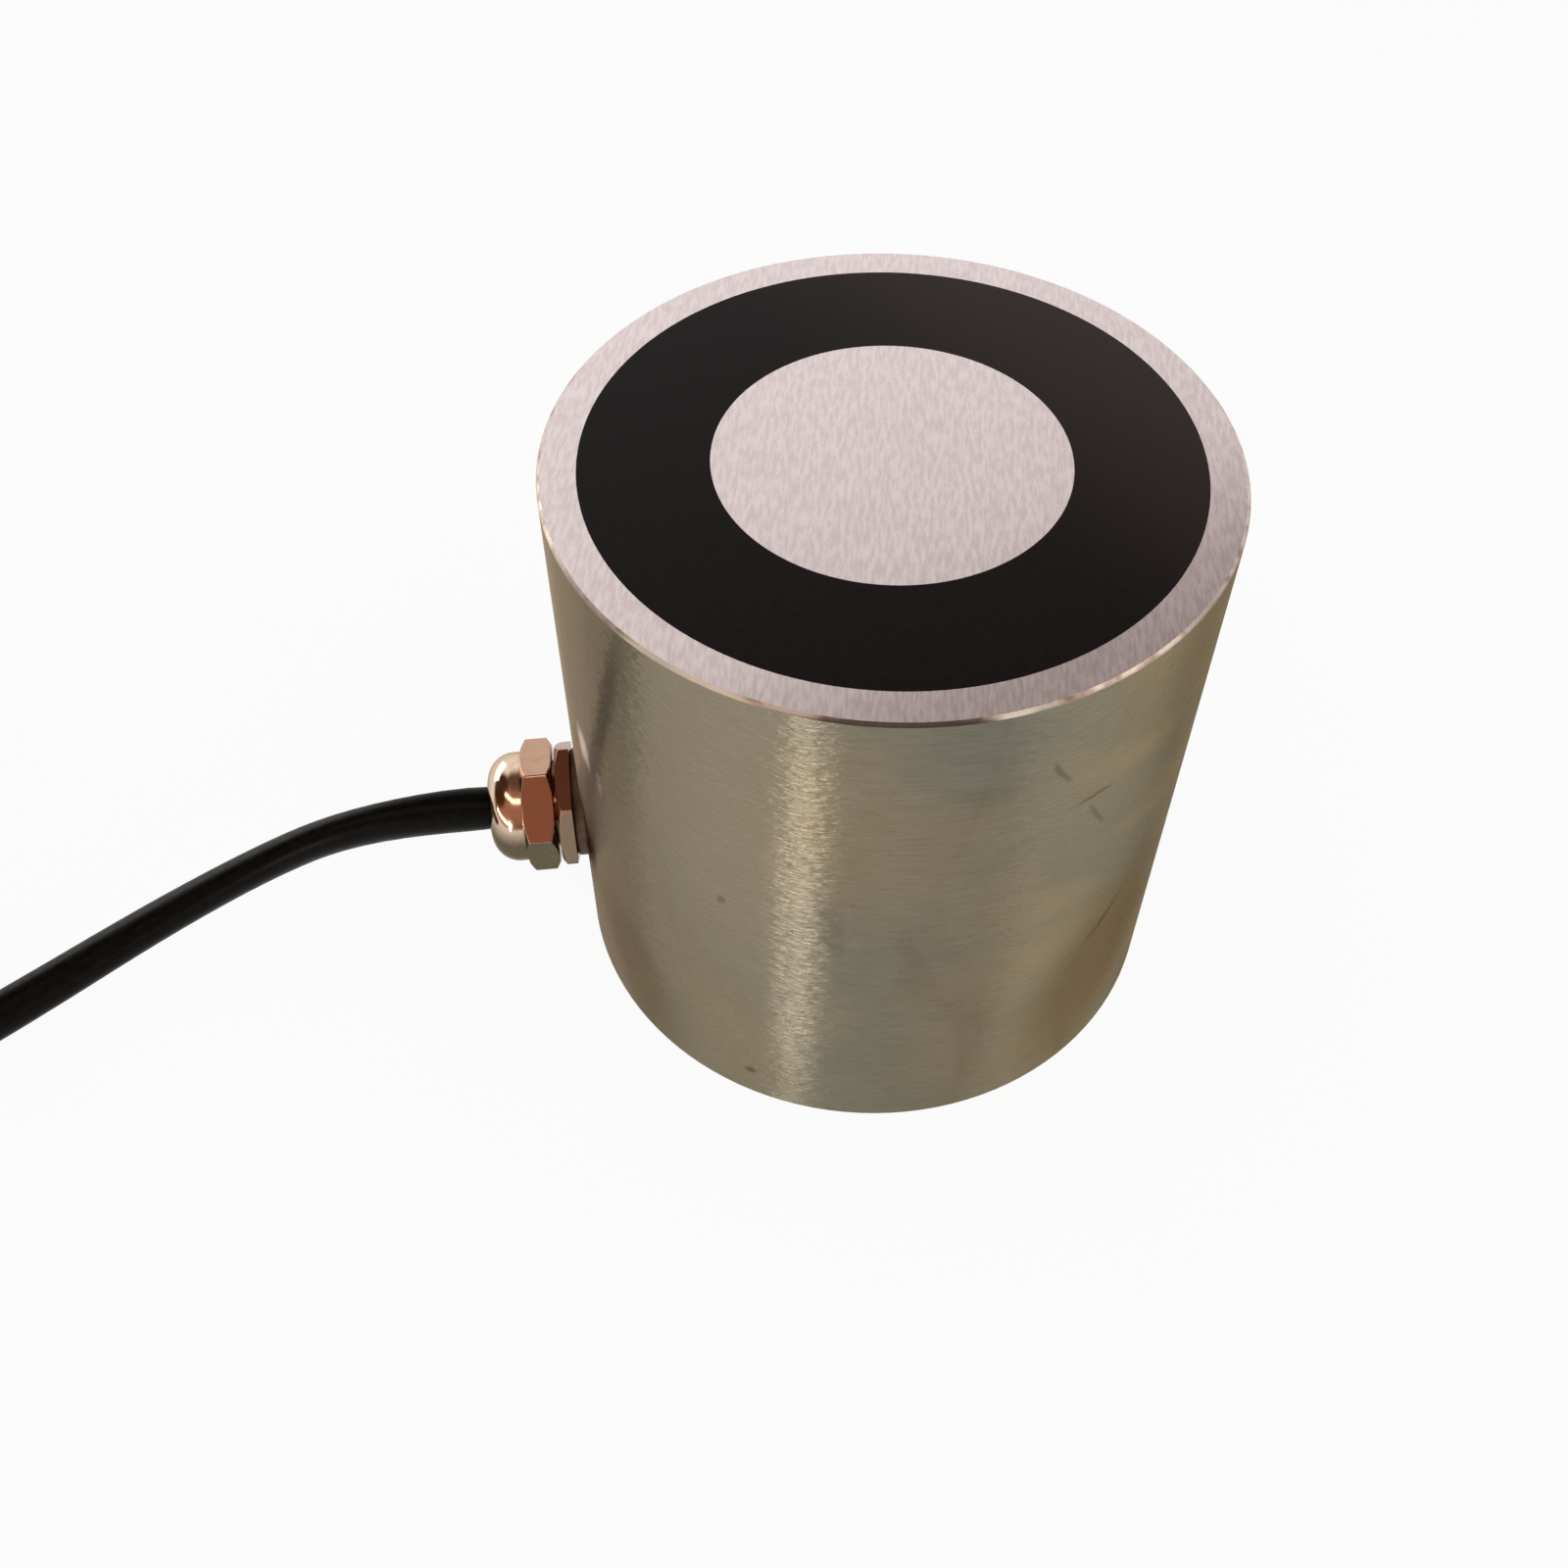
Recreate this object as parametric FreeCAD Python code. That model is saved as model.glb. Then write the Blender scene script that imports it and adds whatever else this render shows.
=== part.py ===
import FreeCAD, Part
import math
import os

from FreeCAD import Vector

# Round lifting electromagnet, standing on its back with the pole face up.
# Z is the axis of the magnet, z = 0 is the back face, and the cable leaves through a gland towards -X.
# All sizes are in millimetres.

# Magnet body
SHELL_DIAMETER = 100.0
SHELL_HEIGHT = 100.0
SHELL_WALL = 5.6
BASE_THICKNESS = 14.0
RIM_CHAMFER = 0.5
BACK_CHAMFER = 1.0
CORE_DIAMETER = 51.2
SPIGOT_DIAMETER = 30.0
RESIN_DEPTH = 10.0

# Tapped mounting hole in the back, M12 at its major diameter
MOUNT_THREAD = 12.0
MOUNT_DEPTH = 24.0
MOUNT_COUNTERSINK = 0.8
DRILL_POINT_ANGLE = 118.0

# Taped copper winding and its leads
WINDING_RADIUS = 38.0
LEAD_DIAMETER = 1.6
WIRE_SIDES = 8
START_LEAD_HEIGHT = 84.0
FINISH_LEAD_HEIGHT = 76.0

# Splices between the leads and the cable cores, in the space beside the winding
CABLE_CORE_DIAMETER = 2.4
CABLE_CORE_OFFSET = 1.6
SPLICE_DIAMETER = 3.6
SPLICE_LENGTH = 12.0
BROWN_SPLICE_HEIGHT = 46.0
BLUE_SPLICE_HEIGHT = 60.0
SPLICE_RADIUS = 40.2

# Cable gland: distances "u" are measured from the magnet's axis out along the gland
GLAND_HEIGHT = 29.0
GLAND_THREAD = 16.0
GLAND_INNER_END = 43.6
SPOT_FACE_AT = 49.1
SPOT_FACE_DIAMETER = 21.2
SEAL_DIAMETER = 18.4
BODY_HEX_START = 51.2
BODY_HEX_END = 53.7
BODY_BORE = 8.0
BODY_END = 58.4
COLLAR_DIAMETER = 14.8
CLAW_SEAT = 51.6
CLAW_DIAMETER = 12.0
CLAW_END = 61.6
CLAW_SLOTS = 6
CLAW_SLOT_WIDTH = 0.9
CLAW_SLOT_START = 57.0
BUSH_DIAMETER = 9.2
BUSH_START = 52.0
BUSH_END = 62.6
NUT_START = 54.3
NUT_HEX_END = 59.4
NUT_THREAD_END = 58.9
NUT_CLAW_BORE = 12.4
NUT_CONE_START = 61.4
NUT_CONE_END = 63.2
NUT_CONE_TIP = 9.6
NUT_END = 65.4
NUT_MOUTH = 7.6
ACROSS_FLATS = 19.6
HEX_END_RADIUS = 10.0
HEX_CHAMFER_ANGLE = 30.0
DOME_RADIUS = 9.3
DOME_ROUNDING = 4.6
DOME_STEPS = 4
NUT_FLAT_ANGLE = 46.5
BODY_FLAT_ANGLE = 73.0

# Cable: a one metre two-core lead with its far end coiled, tied and stripped
CABLE_DIAMETER = 7.0
CABLE_INNER_END = 43.2
CABLE_ROUTE = [
    (-60.0, 0.0, 29.0),
    (-85.5, 0.0, 29.0),
    (-112.0, -3.0, 21.2),
    (-158.5, -21.0, 4.5),
    (-182.0, -34.0, 4.5),
]
ARC_SHARE_OF_RUN = 0.45
COIL_MEAN_RADIUS = 40.5
COIL_SLACK = 0.2
COIL_SIDES = 24
COIL_ENTRY = 27.0
TAIL_LENGTH = 38.0
TAIL_DROP = 5.0
STRIPPED_LENGTH = 32.0
STRIPPED_DROP = 4.7
STRIPPED_SPREAD = 4.0
TIP_DIAMETER = 1.3
TIP_LENGTH = 7.0

# Cable tie round the coil
TIE_THICKNESS = 0.8
TIE_WIDTH = 2.5
TIE_HEAD_DEPTH = 3.4
TIE_HEAD_WIDTH = 4.0
TIE_HEAD_HEIGHT = 4.8
TIE_END = 3.0
TIE_SLACK = 0.05
TIE_ANGLE_FROM_ENTRY = 12.0

SHELL_RADIUS = SHELL_DIAMETER / 2
BORE_RADIUS = SHELL_RADIUS - SHELL_WALL
CORE_RADIUS = CORE_DIAMETER / 2
RESIN_BOTTOM = SHELL_HEIGHT - RESIN_DEPTH
CABLE_RADIUS = CABLE_DIAMETER / 2

UP = Vector(0, 0, 1)
OUTWARD = Vector(-1, 0, 0)
SIDEWAYS = Vector(0, 1, 0)
GLAND_AXIS = Vector(0, 0, GLAND_HEIGHT)


def closed_face(points):
    """Flat face inside a closed outline of straight edges."""
    return Part.Face(Part.makePolygon(points + points[:1]))


def turned(outline):
    """Solid of revolution round the magnet's axis from an outline of (radius, z)."""
    face = closed_face([Vector(radius, 0, z) for radius, z in outline])
    return face.revolve(Vector(0, 0, 0), UP, 360)


def turned_on_gland(outline):
    """Solid of revolution round the gland's axis from an outline of (u, radius)."""
    face = closed_face([Vector(-u, 0, GLAND_HEIGHT + radius) for u, radius in outline])
    return face.revolve(GLAND_AXIS, OUTWARD, 360)


def gland_cylinder(diameter, start, end):
    """Cylinder on the gland's axis from u = start to u = end."""
    return Part.makeCylinder(diameter / 2, end - start, GLAND_AXIS + OUTWARD * start, OUTWARD)


def gland_ring(inner_diameter, outer_diameter, start, end):
    """Plain ring on the gland's axis from u = start to u = end."""
    return gland_cylinder(outer_diameter, start, end).cut(gland_cylinder(inner_diameter, start, end))


def ring(inner_radius, outer_radius, bottom, top):
    """Plain ring round the magnet's axis."""
    return turned([(inner_radius, bottom), (outer_radius, bottom), (outer_radius, top), (inner_radius, top)])


def many_sided_ring(inner_radius, outer_radius, bottom, top, sides, flat_angle):
    """Ring round Z with flat sides that touch the two radii, the middle of one flat at flat_angle."""
    prisms = []
    for radius in (outer_radius, inner_radius):
        corner_radius = radius / math.cos(math.pi / sides)
        corners = []
        for index in range(sides):
            angle = math.radians(flat_angle) + math.pi * (2 * index + 1) / sides
            corners.append(Vector(corner_radius * math.cos(angle), corner_radius * math.sin(angle), bottom))
        prisms.append(closed_face(corners).extrude(UP * (top - bottom)))
    return prisms[0].cut(prisms[1])


def wire_section(start, direction, diameter):
    """Outline of a thin wire's section, plain and many-sided, across the given direction."""
    ahead = Vector(direction)
    ahead.normalize()
    across = ahead.cross(SIDEWAYS)
    across.normalize()
    other = ahead.cross(across)
    corners = []
    for index in range(WIRE_SIDES):
        angle = 2 * math.pi * index / WIRE_SIDES
        corners.append(start + (across * math.cos(angle) + other * math.sin(angle)) * (diameter / 2))
    return closed_face(corners).OuterWire


def straight_wire(start, run, diameter):
    """Thin wire along one straight run."""
    return Part.Face(wire_section(start, run, diameter)).extrude(run)


def bent_wire(points, diameter):
    """Thin wire of straight runs that meet at mitred corners."""
    points = [Vector(*point) for point in points]
    right_corners = 1
    section = wire_section(points[0], points[1] - points[0], diameter)
    return Part.makePolygon(points).makePipeShell([section], True, False, right_corners)


def cable_path(points):
    """Straight runs joined by tangent arcs as large as their runs allow, and the radii of the arcs."""
    points = [Vector(*point) for point in points]
    here = points[0]
    edges = []
    radii = []
    for before, corner, after in zip(points, points[1:], points[2:]):
        back = before - corner
        ahead = after - corner
        reach = ARC_SHARE_OF_RUN * min(back.Length, ahead.Length)
        half_turn = (math.pi - back.getAngle(ahead)) / 2
        radius = reach / math.tan(half_turn)
        back.normalize()
        ahead.normalize()
        inward = back + ahead
        inward.normalize()
        arc_start = corner + back * reach
        arc_middle = corner + inward * (radius / math.cos(half_turn) - radius)
        arc_end = corner + ahead * reach
        edges.append(Part.LineSegment(here, arc_start).toShape())
        edges.append(Part.Arc(arc_start, arc_middle, arc_end).toShape())
        radii.append(radius)
        here = arc_end
    edges.append(Part.LineSegment(here, points[-1]).toShape())
    return Part.Wire(edges), radii


def hexagon(start, end, flat_angle, chamfer_start):
    """Hexagon across the gland's axis, its corners turned off at the end, or at both ends.

    One flat's normal stands at flat_angle above the horizontal, on the -Y side.
    """
    corner_radius = ACROSS_FLATS / math.sqrt(3)
    corners = []
    for index in range(6):
        angle = math.radians(30 + 60 * index)
        offset = Vector(-start, corner_radius * math.sin(angle), corner_radius * math.cos(angle))
        corners.append(GLAND_AXIS + offset)
    prism = closed_face(corners).extrude(OUTWARD * (end - start))
    chamfer = (corner_radius - HEX_END_RADIUS) * math.tan(math.radians(HEX_CHAMFER_ANGLE))
    outline = [(start, 0), (start, corner_radius)]
    if chamfer_start:
        outline = [(start, 0), (start, HEX_END_RADIUS), (start + chamfer, corner_radius)]
    outline += [(end - chamfer, corner_radius), (end, HEX_END_RADIUS), (end, 0)]
    nut = prism.common(turned_on_gland(outline))
    nut.rotate(GLAND_AXIS, OUTWARD, flat_angle - 90)
    return nut


def make_shell():
    """Steel cup: base and wall turned in one, bored for the core and tapped at the side for the gland."""
    cup = turned([
        (SPIGOT_DIAMETER / 2, 0),
        (SHELL_RADIUS - BACK_CHAMFER, 0),
        (SHELL_RADIUS, BACK_CHAMFER),
        (SHELL_RADIUS, SHELL_HEIGHT - RIM_CHAMFER),
        (SHELL_RADIUS - RIM_CHAMFER, SHELL_HEIGHT),
        (BORE_RADIUS, SHELL_HEIGHT),
        (BORE_RADIUS, BASE_THICKNESS),
        (SPIGOT_DIAMETER / 2, BASE_THICKNESS),
    ])
    tapped_hole = gland_cylinder(GLAND_THREAD, CORE_RADIUS, SHELL_RADIUS)
    spot_face = gland_cylinder(SPOT_FACE_DIAMETER, SPOT_FACE_AT, SHELL_DIAMETER)
    return cup.cut([tapped_hole, spot_face])


def make_pole_core():
    """Steel core with the spigot that is pressed into the base and holds the mounting hole."""
    hole_radius = MOUNT_THREAD / 2
    drill_point = hole_radius / math.tan(math.radians(DRILL_POINT_ANGLE / 2))
    return turned([
        (0, SHELL_HEIGHT),
        (CORE_RADIUS, SHELL_HEIGHT),
        (CORE_RADIUS, BASE_THICKNESS),
        (SPIGOT_DIAMETER / 2, BASE_THICKNESS),
        (SPIGOT_DIAMETER / 2, 0),
        (hole_radius + MOUNT_COUNTERSINK, 0),
        (hole_radius, MOUNT_COUNTERSINK),
        (hole_radius, MOUNT_DEPTH),
        (0, MOUNT_DEPTH + drill_point),
    ])


def make_winding():
    """Copper wire wound on a former and wrapped in tape, as one block round the core."""
    return ring(CORE_RADIUS, WINDING_RADIUS, BASE_THICKNESS, RESIN_BOTTOM)


def make_resin_seal():
    """Black casting resin that closes the coil space, flush with the pole face."""
    return ring(CORE_RADIUS, BORE_RADIUS, RESIN_BOTTOM, SHELL_HEIGHT)


def make_lead(side, height, splice_height, winding):
    """End of the winding that comes out through its tape at a height and goes down to its splice."""
    lead = bent_wire([
        (-CORE_RADIUS, side, height),
        (-SPLICE_RADIUS, side, height),
        (-SPLICE_RADIUS, side, splice_height + SPLICE_LENGTH),
    ], LEAD_DIAMETER)
    return lead.cut(winding)


def make_splice_sleeves():
    """Two shrink sleeves over the soldered splices, one higher than the other."""
    sleeves = []
    for side, height in ((-CABLE_CORE_OFFSET, BROWN_SPLICE_HEIGHT), (CABLE_CORE_OFFSET, BLUE_SPLICE_HEIGHT)):
        foot = Vector(-SPLICE_RADIUS, side, height)
        sleeves.append(straight_wire(foot, UP * SPLICE_LENGTH, SPLICE_DIAMETER))
    return Part.makeCompound(sleeves)


def make_inner_core(side, splice_height):
    """Insulated cable core from the end of the sheath up to its splice."""
    return bent_wire([
        (-CABLE_INNER_END, side, GLAND_HEIGHT),
        (-SPLICE_RADIUS, side, GLAND_HEIGHT),
        (-SPLICE_RADIUS, side, splice_height),
    ], CABLE_CORE_DIAMETER)


def make_gland_body():
    """Brass gland body: thread, hexagon and the collar that takes the dome nut."""
    thread = GLAND_THREAD / 2
    collar = COLLAR_DIAMETER / 2
    within_hexagon = (BODY_HEX_START + BODY_HEX_END) / 2
    stem = turned_on_gland([
        (GLAND_INNER_END, BODY_BORE / 2),
        (GLAND_INNER_END, thread),
        (within_hexagon, thread),
        (within_hexagon, collar),
        (BODY_END, collar),
        (BODY_END, CLAW_DIAMETER / 2),
        (CLAW_SEAT, CLAW_DIAMETER / 2),
        (CLAW_SEAT, BODY_BORE / 2),
    ])
    flange = hexagon(BODY_HEX_START, BODY_HEX_END, BODY_FLAT_ANGLE, False)
    bored_flange = flange.cut(gland_cylinder(CLAW_DIAMETER, BODY_HEX_START, BODY_HEX_END))
    return stem.fuse(bored_flange).removeSplitter()


def make_gland_seal():
    """Rubber sealing ring between the gland's hexagon and the spot face of the shell."""
    return gland_ring(GLAND_THREAD, SEAL_DIAMETER, SPOT_FACE_AT, BODY_HEX_START)


def make_gland_claw():
    """Nylon claw: a sleeve whose slotted fingers are pressed onto the bush by the dome."""
    sleeve = gland_ring(BUSH_DIAMETER, CLAW_DIAMETER, CLAW_SEAT, CLAW_END)
    slots = []
    slot_corner = Vector(-CLAW_END, -CLAW_SLOT_WIDTH / 2, GLAND_HEIGHT)
    for index in range(CLAW_SLOTS):
        slot = Part.makeBox(CLAW_END - CLAW_SLOT_START, CLAW_SLOT_WIDTH, CLAW_DIAMETER, slot_corner)
        slot.rotate(GLAND_AXIS, OUTWARD, 360 * index / CLAW_SLOTS)
        slots.append(slot)
    return sleeve.cut(slots)


def make_gland_bush():
    """Rubber bush that grips the cable."""
    return gland_ring(CABLE_DIAMETER, BUSH_DIAMETER, BUSH_START, BUSH_END)


def make_gland_nut():
    """Brass dome nut: chamfered hexagon and rounded dome, bored, coned and threaded inside."""
    dome_level = NUT_END - DOME_ROUNDING
    nose_radius = DOME_RADIUS - DOME_ROUNDING
    outline = [(NUT_START, 0), (NUT_START, DOME_RADIUS)]
    for step in range(DOME_STEPS + 1):
        angle = math.radians(90 * step / DOME_STEPS)
        outline.append((dome_level + DOME_ROUNDING * math.sin(angle), nose_radius + DOME_ROUNDING * math.cos(angle)))
    dome = turned_on_gland(outline + [(NUT_END, 0)])
    inside = turned_on_gland([
        (NUT_START, 0),
        (NUT_START, COLLAR_DIAMETER / 2),
        (NUT_THREAD_END, COLLAR_DIAMETER / 2),
        (NUT_THREAD_END, NUT_CLAW_BORE / 2),
        (NUT_CONE_START, NUT_CLAW_BORE / 2),
        (NUT_CONE_END, NUT_CONE_TIP / 2),
        (NUT_CONE_END, NUT_MOUTH / 2),
        (NUT_END, NUT_MOUTH / 2),
        (NUT_END, 0),
    ])
    return hexagon(NUT_START, NUT_HEX_END, NUT_FLAT_ANGLE, True).fuse(dome).removeSplitter().cut(inside)


def make_cable_in_gland():
    """The cable's straight stretch inside the gland, up to the end of its sheath in the coil space."""
    return gland_cylinder(CABLE_DIAMETER, CABLE_INNER_END, -CABLE_ROUTE[0][0])


def make_cable():
    """The cable's free stretch, from inside the gland's mouth to the coil."""
    path, radii = cable_path(CABLE_ROUTE)
    start = Vector(*CABLE_ROUTE[0])
    section = Part.Wire(Part.Circle(start, OUTWARD, CABLE_RADIUS).toShape())
    cable = path.makePipeShell([section], True, False)
    plain_volume = math.pi * CABLE_RADIUS ** 2 * path.Length
    print("cable bend radii:", ", ".join("%.0f" % radius for radius in radii))
    print("cable length %.1f, volume to section times length %.4f" % (path.Length, cable.Volume / plain_volume))
    return cable


class Coil:
    """Where the coil lies: it is entered along the cable's last run and wound clockwise seen from above."""

    half_width = CABLE_DIAMETER + COIL_SLACK
    inside = COIL_MEAN_RADIUS - half_width
    outside = COIL_MEAN_RADIUS + half_width
    bottom = TIE_THICKNESS
    top = bottom + 2 * half_width
    outer_turn = COIL_MEAN_RADIUS + CABLE_RADIUS
    cable_end = Vector(*CABLE_ROUTE[-1])
    heading = cable_end - Vector(*CABLE_ROUTE[-2])
    heading.normalize()
    entry = cable_end + heading * COIL_ENTRY
    centre = Vector(entry.x + heading.y * outer_turn, entry.y - heading.x * outer_turn, 0)
    entry_angle = math.degrees(math.atan2(entry.y - centre.y, entry.x - centre.x))
    tie_angle = entry_angle - TIE_ANGLE_FROM_ENTRY
    tail_start = centre + Vector(0, -outer_turn, top - COIL_SLACK - CABLE_RADIUS)
    tail_end = tail_start + Vector(-TAIL_LENGTH, 0, -TAIL_DROP)


def make_cable_coil():
    """Outer shape of the coil, two turns wide and two high, with its straight entry and its free tail."""
    bundle = many_sided_ring(Coil.inside, Coil.outside, Coil.bottom, Coil.top, COIL_SIDES, Coil.tie_angle)
    bundle.translate(Coil.centre)
    entry = Part.makeCylinder(CABLE_RADIUS, COIL_ENTRY, Coil.cable_end, Coil.heading)
    slope = Coil.tail_end - Coil.tail_start
    tail = Part.makeCylinder(CABLE_RADIUS, slope.Length, Coil.tail_start, slope)
    return bundle.fuse([entry, tail]).removeSplitter()


def make_coil_tie():
    """Cable tie: a strap round the turns, its head outside and the cut end above it."""
    size = 2 * Coil.half_width
    outer_size = size + 2 * TIE_THICKNESS
    strap_corner = Vector(Coil.inside - TIE_THICKNESS, -TIE_WIDTH / 2, Coil.bottom - TIE_THICKNESS)
    strap = Part.makeBox(outer_size, TIE_WIDTH, outer_size, strap_corner)
    opening_corner = Vector(Coil.inside - TIE_SLACK, -TIE_WIDTH / 2, Coil.bottom)
    strap = strap.cut(Part.makeBox(size + TIE_SLACK, TIE_WIDTH, size, opening_corner))
    head_bottom = (Coil.bottom + Coil.top - TIE_HEAD_HEIGHT) / 2
    head_corner = Vector(Coil.outside + TIE_THICKNESS, -TIE_HEAD_WIDTH / 2, head_bottom)
    head = Part.makeBox(TIE_HEAD_DEPTH, TIE_HEAD_WIDTH, TIE_HEAD_HEIGHT, head_corner)
    end_corner = Vector(Coil.outside + 2 * TIE_THICKNESS, -TIE_WIDTH / 2, head_bottom + TIE_HEAD_HEIGHT)
    end = Part.makeBox(TIE_THICKNESS, TIE_WIDTH, TIE_END, end_corner)
    tie = strap.fuse([head, end]).removeSplitter()
    tie.rotate(Vector(0, 0, 0), UP, Coil.tie_angle)
    tie.translate(Coil.centre)
    return tie


def stripped_core(side):
    """Start and end of one core of the stripped far end, spread to its side and sloping to the floor."""
    start = Coil.tail_end + Vector(0, side, 0)
    spread = math.copysign(STRIPPED_SPREAD, side)
    return start, start + Vector(-STRIPPED_LENGTH, spread, -STRIPPED_DROP)


def make_tail_core(side, coil):
    """One insulated core of the stripped far end."""
    start, end = stripped_core(side)
    return straight_wire(start, end - start, CABLE_CORE_DIAMETER).cut(coil)


def make_tail_tips():
    """Tinned ends of the two cores."""
    tips = []
    for side in (-CABLE_CORE_OFFSET, CABLE_CORE_OFFSET):
        start, end = stripped_core(side)
        run = end - start
        run.normalize()
        tips.append(straight_wire(end, run * TIP_LENGTH, TIP_DIAMETER))
    return Part.makeCompound(tips)


def build():
    """All pieces by node name."""
    brown_side = -CABLE_CORE_OFFSET
    blue_side = CABLE_CORE_OFFSET
    winding = make_winding()
    coil = make_cable_coil()
    return {
        "shell": make_shell(),
        "pole_core": make_pole_core(),
        "winding": winding,
        "resin_seal": make_resin_seal(),
        "start_lead": make_lead(blue_side, START_LEAD_HEIGHT, BLUE_SPLICE_HEIGHT, winding),
        "finish_lead": make_lead(brown_side, FINISH_LEAD_HEIGHT, BROWN_SPLICE_HEIGHT, winding),
        "splice_sleeves": make_splice_sleeves(),
        "inner_core_brown": make_inner_core(brown_side, BROWN_SPLICE_HEIGHT),
        "inner_core_blue": make_inner_core(blue_side, BLUE_SPLICE_HEIGHT),
        "gland_body": make_gland_body(),
        "gland_seal": make_gland_seal(),
        "gland_claw": make_gland_claw(),
        "gland_bush": make_gland_bush(),
        "gland_nut": make_gland_nut(),
        "cable_in_gland": make_cable_in_gland(),
        "cable": make_cable(),
        "cable_coil": coil,
        "coil_tie": make_coil_tie(),
        "tail_core_brown": make_tail_core(brown_side, coil),
        "tail_core_blue": make_tail_core(blue_side, coil),
        "tail_tips": make_tail_tips(),
    }


os.makedirs("parts", exist_ok=True)
for name, shape in build().items():
    shape.exportStep("parts/%s.step" % name)
    print("%-18s solids %d  valid %s  volume %.1f" % (name, len(shape.Solids), shape.isValid(), shape.Volume))
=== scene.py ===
import math
from dataclasses import dataclass

import bpy
from mathutils import Matrix, Vector


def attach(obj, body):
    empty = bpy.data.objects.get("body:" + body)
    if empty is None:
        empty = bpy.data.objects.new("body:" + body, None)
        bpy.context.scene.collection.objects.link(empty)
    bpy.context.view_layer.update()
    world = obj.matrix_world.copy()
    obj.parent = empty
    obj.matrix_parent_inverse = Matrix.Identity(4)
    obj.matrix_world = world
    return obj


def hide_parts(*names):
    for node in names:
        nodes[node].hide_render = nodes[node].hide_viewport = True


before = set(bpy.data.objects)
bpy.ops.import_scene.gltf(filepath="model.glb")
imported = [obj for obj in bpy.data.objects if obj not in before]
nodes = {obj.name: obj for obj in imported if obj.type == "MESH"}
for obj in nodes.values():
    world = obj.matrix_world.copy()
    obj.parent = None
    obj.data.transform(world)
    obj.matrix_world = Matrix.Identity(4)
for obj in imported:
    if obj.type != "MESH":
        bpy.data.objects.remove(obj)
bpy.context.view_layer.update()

# Looks of a round lifting electromagnet that stands on its back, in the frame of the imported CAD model.
# Lengths are in metres, Z is the magnet's axis, and the cable leaves through a gland towards -X.
UP = Vector((0, 0, 1))

# Camera, from a fit of the photograph's outlines
LENS = 39.07
SENSOR = 36.0
CAMERA_PLACE = Vector((-0.03576, -0.18382, 0.25731))
CAMERA_FORWARD = Vector((0.07016, 0.62549, -0.77707))
CAMERA_ROLL = math.radians(0.175)
IMAGE_SIZE = 1600

# Magnet, as in the part's source
SHELL_RADIUS = 0.050
SHELL_HEIGHT = 0.100
RIM_CHAMFER = 0.0005
MAGNET_MIDDLE = Vector((0, 0, SHELL_HEIGHT / 2))
MOUNT_RADIUS = 0.0060
MOUNT_DEPTH = 0.024
MOUNT_PITCH = 0.00175

# Thread in the mounting hole: its half widths at root and crest are shares of the pitch, and its root is sunk
MOUNT_THREAD_DEPTH = 0.0009
MOUNT_THREAD_ROOT = 0.42
MOUNT_THREAD_CREST = 0.08
MOUNT_THREAD_SINK = 0.00005
MOUNT_STEPS = 48

# Gland, as in the part's source: u is the distance from the magnet's axis out along the gland
GLAND_HEIGHT = 0.029
GLAND_INNER_END = 0.0436
GLAND_THREAD_RADIUS = 0.0080
SEAL_START = 0.0491
SEAL_RADIUS = 0.0092
SEAL_ROUNDING = 0.0006
BODY_HEX_START = 0.0512
BODY_HEX_END = 0.0537
BODY_BORE_RADIUS = 0.0040
BODY_END = 0.0584
COLLAR_RADIUS = 0.0074
CLAW_SEAT = 0.0516
CLAW_RADIUS = 0.0060
NUT_START = 0.0543
NUT_HEX_END = 0.0594
NUT_THREAD_END = 0.0589
NUT_CLAW_BORE_RADIUS = 0.0062
NUT_CONE_START = 0.0614
NUT_CONE_END = 0.0632
NUT_CONE_TIP_RADIUS = 0.0048
NUT_END = 0.0654
NUT_MOUTH_RADIUS = 0.0038
ACROSS_FLATS = 0.0196
HEX_END_RADIUS = 0.0100
HEX_CHAMFER_ANGLE = math.radians(30)
DOME_RADIUS = 0.0093
DOME_ROUNDING = 0.0046
NUT_FLAT_ANGLE = math.radians(46.5)
BODY_FLAT_ANGLE = math.radians(73)

# How finely the gland is made, the thread of its collar, and how sharp the edges of its hexagons are
GLAND_SIDES = 480
FINE_ROW = 0.00004
COARSE_ROW = 0.0005
CHAMFER_ZONE = 0.0010
DOME_ROWS = 28
SEAL_STEP = 15
COLLAR_PITCH = 0.0010
COLLAR_THREAD_DEPTH = 0.0004
COLLAR_TURN_ROWS = 12
COLLAR_END_ROWS = 2
CORNER_SHARPNESS = 140
EDGE_SHARPNESS = 170
EDGE_EASE = 0.00008

# Cable: the points of its route, and its length from the gland's mouth
CABLE_RADIUS = 0.0035
CABLE_SIDES = 24
CABLE_STEPS = 10
CABLE_ROUTE = [
    (-0.0600, 0.000, 0.0290),
    (-0.0835, 0.000, 0.0303),
    (-0.1113, -0.003, 0.0202),
    (-0.1585, -0.0212, 0.0046),
    (-0.1820, -0.0343, 0.0038),
]

# Section of the cable's free stretch: a little oval, its long side turning slowly.
# The distances run along the cable from its first point.
OVAL_LONG = 0.00385
OVAL_SHORT = 0.00315
OVAL_STARTS = (0.000, 0.012)
OVAL_ENDS = (0.105, 0.140)
OVAL_FLAT_AT = 0.036
OVAL_FLAT_LEAN = math.radians(-51.5)
OVAL_TURN_BEFORE = math.radians(90) / 0.036
OVAL_TURN_AFTER = math.radians(90) / 0.070

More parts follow.
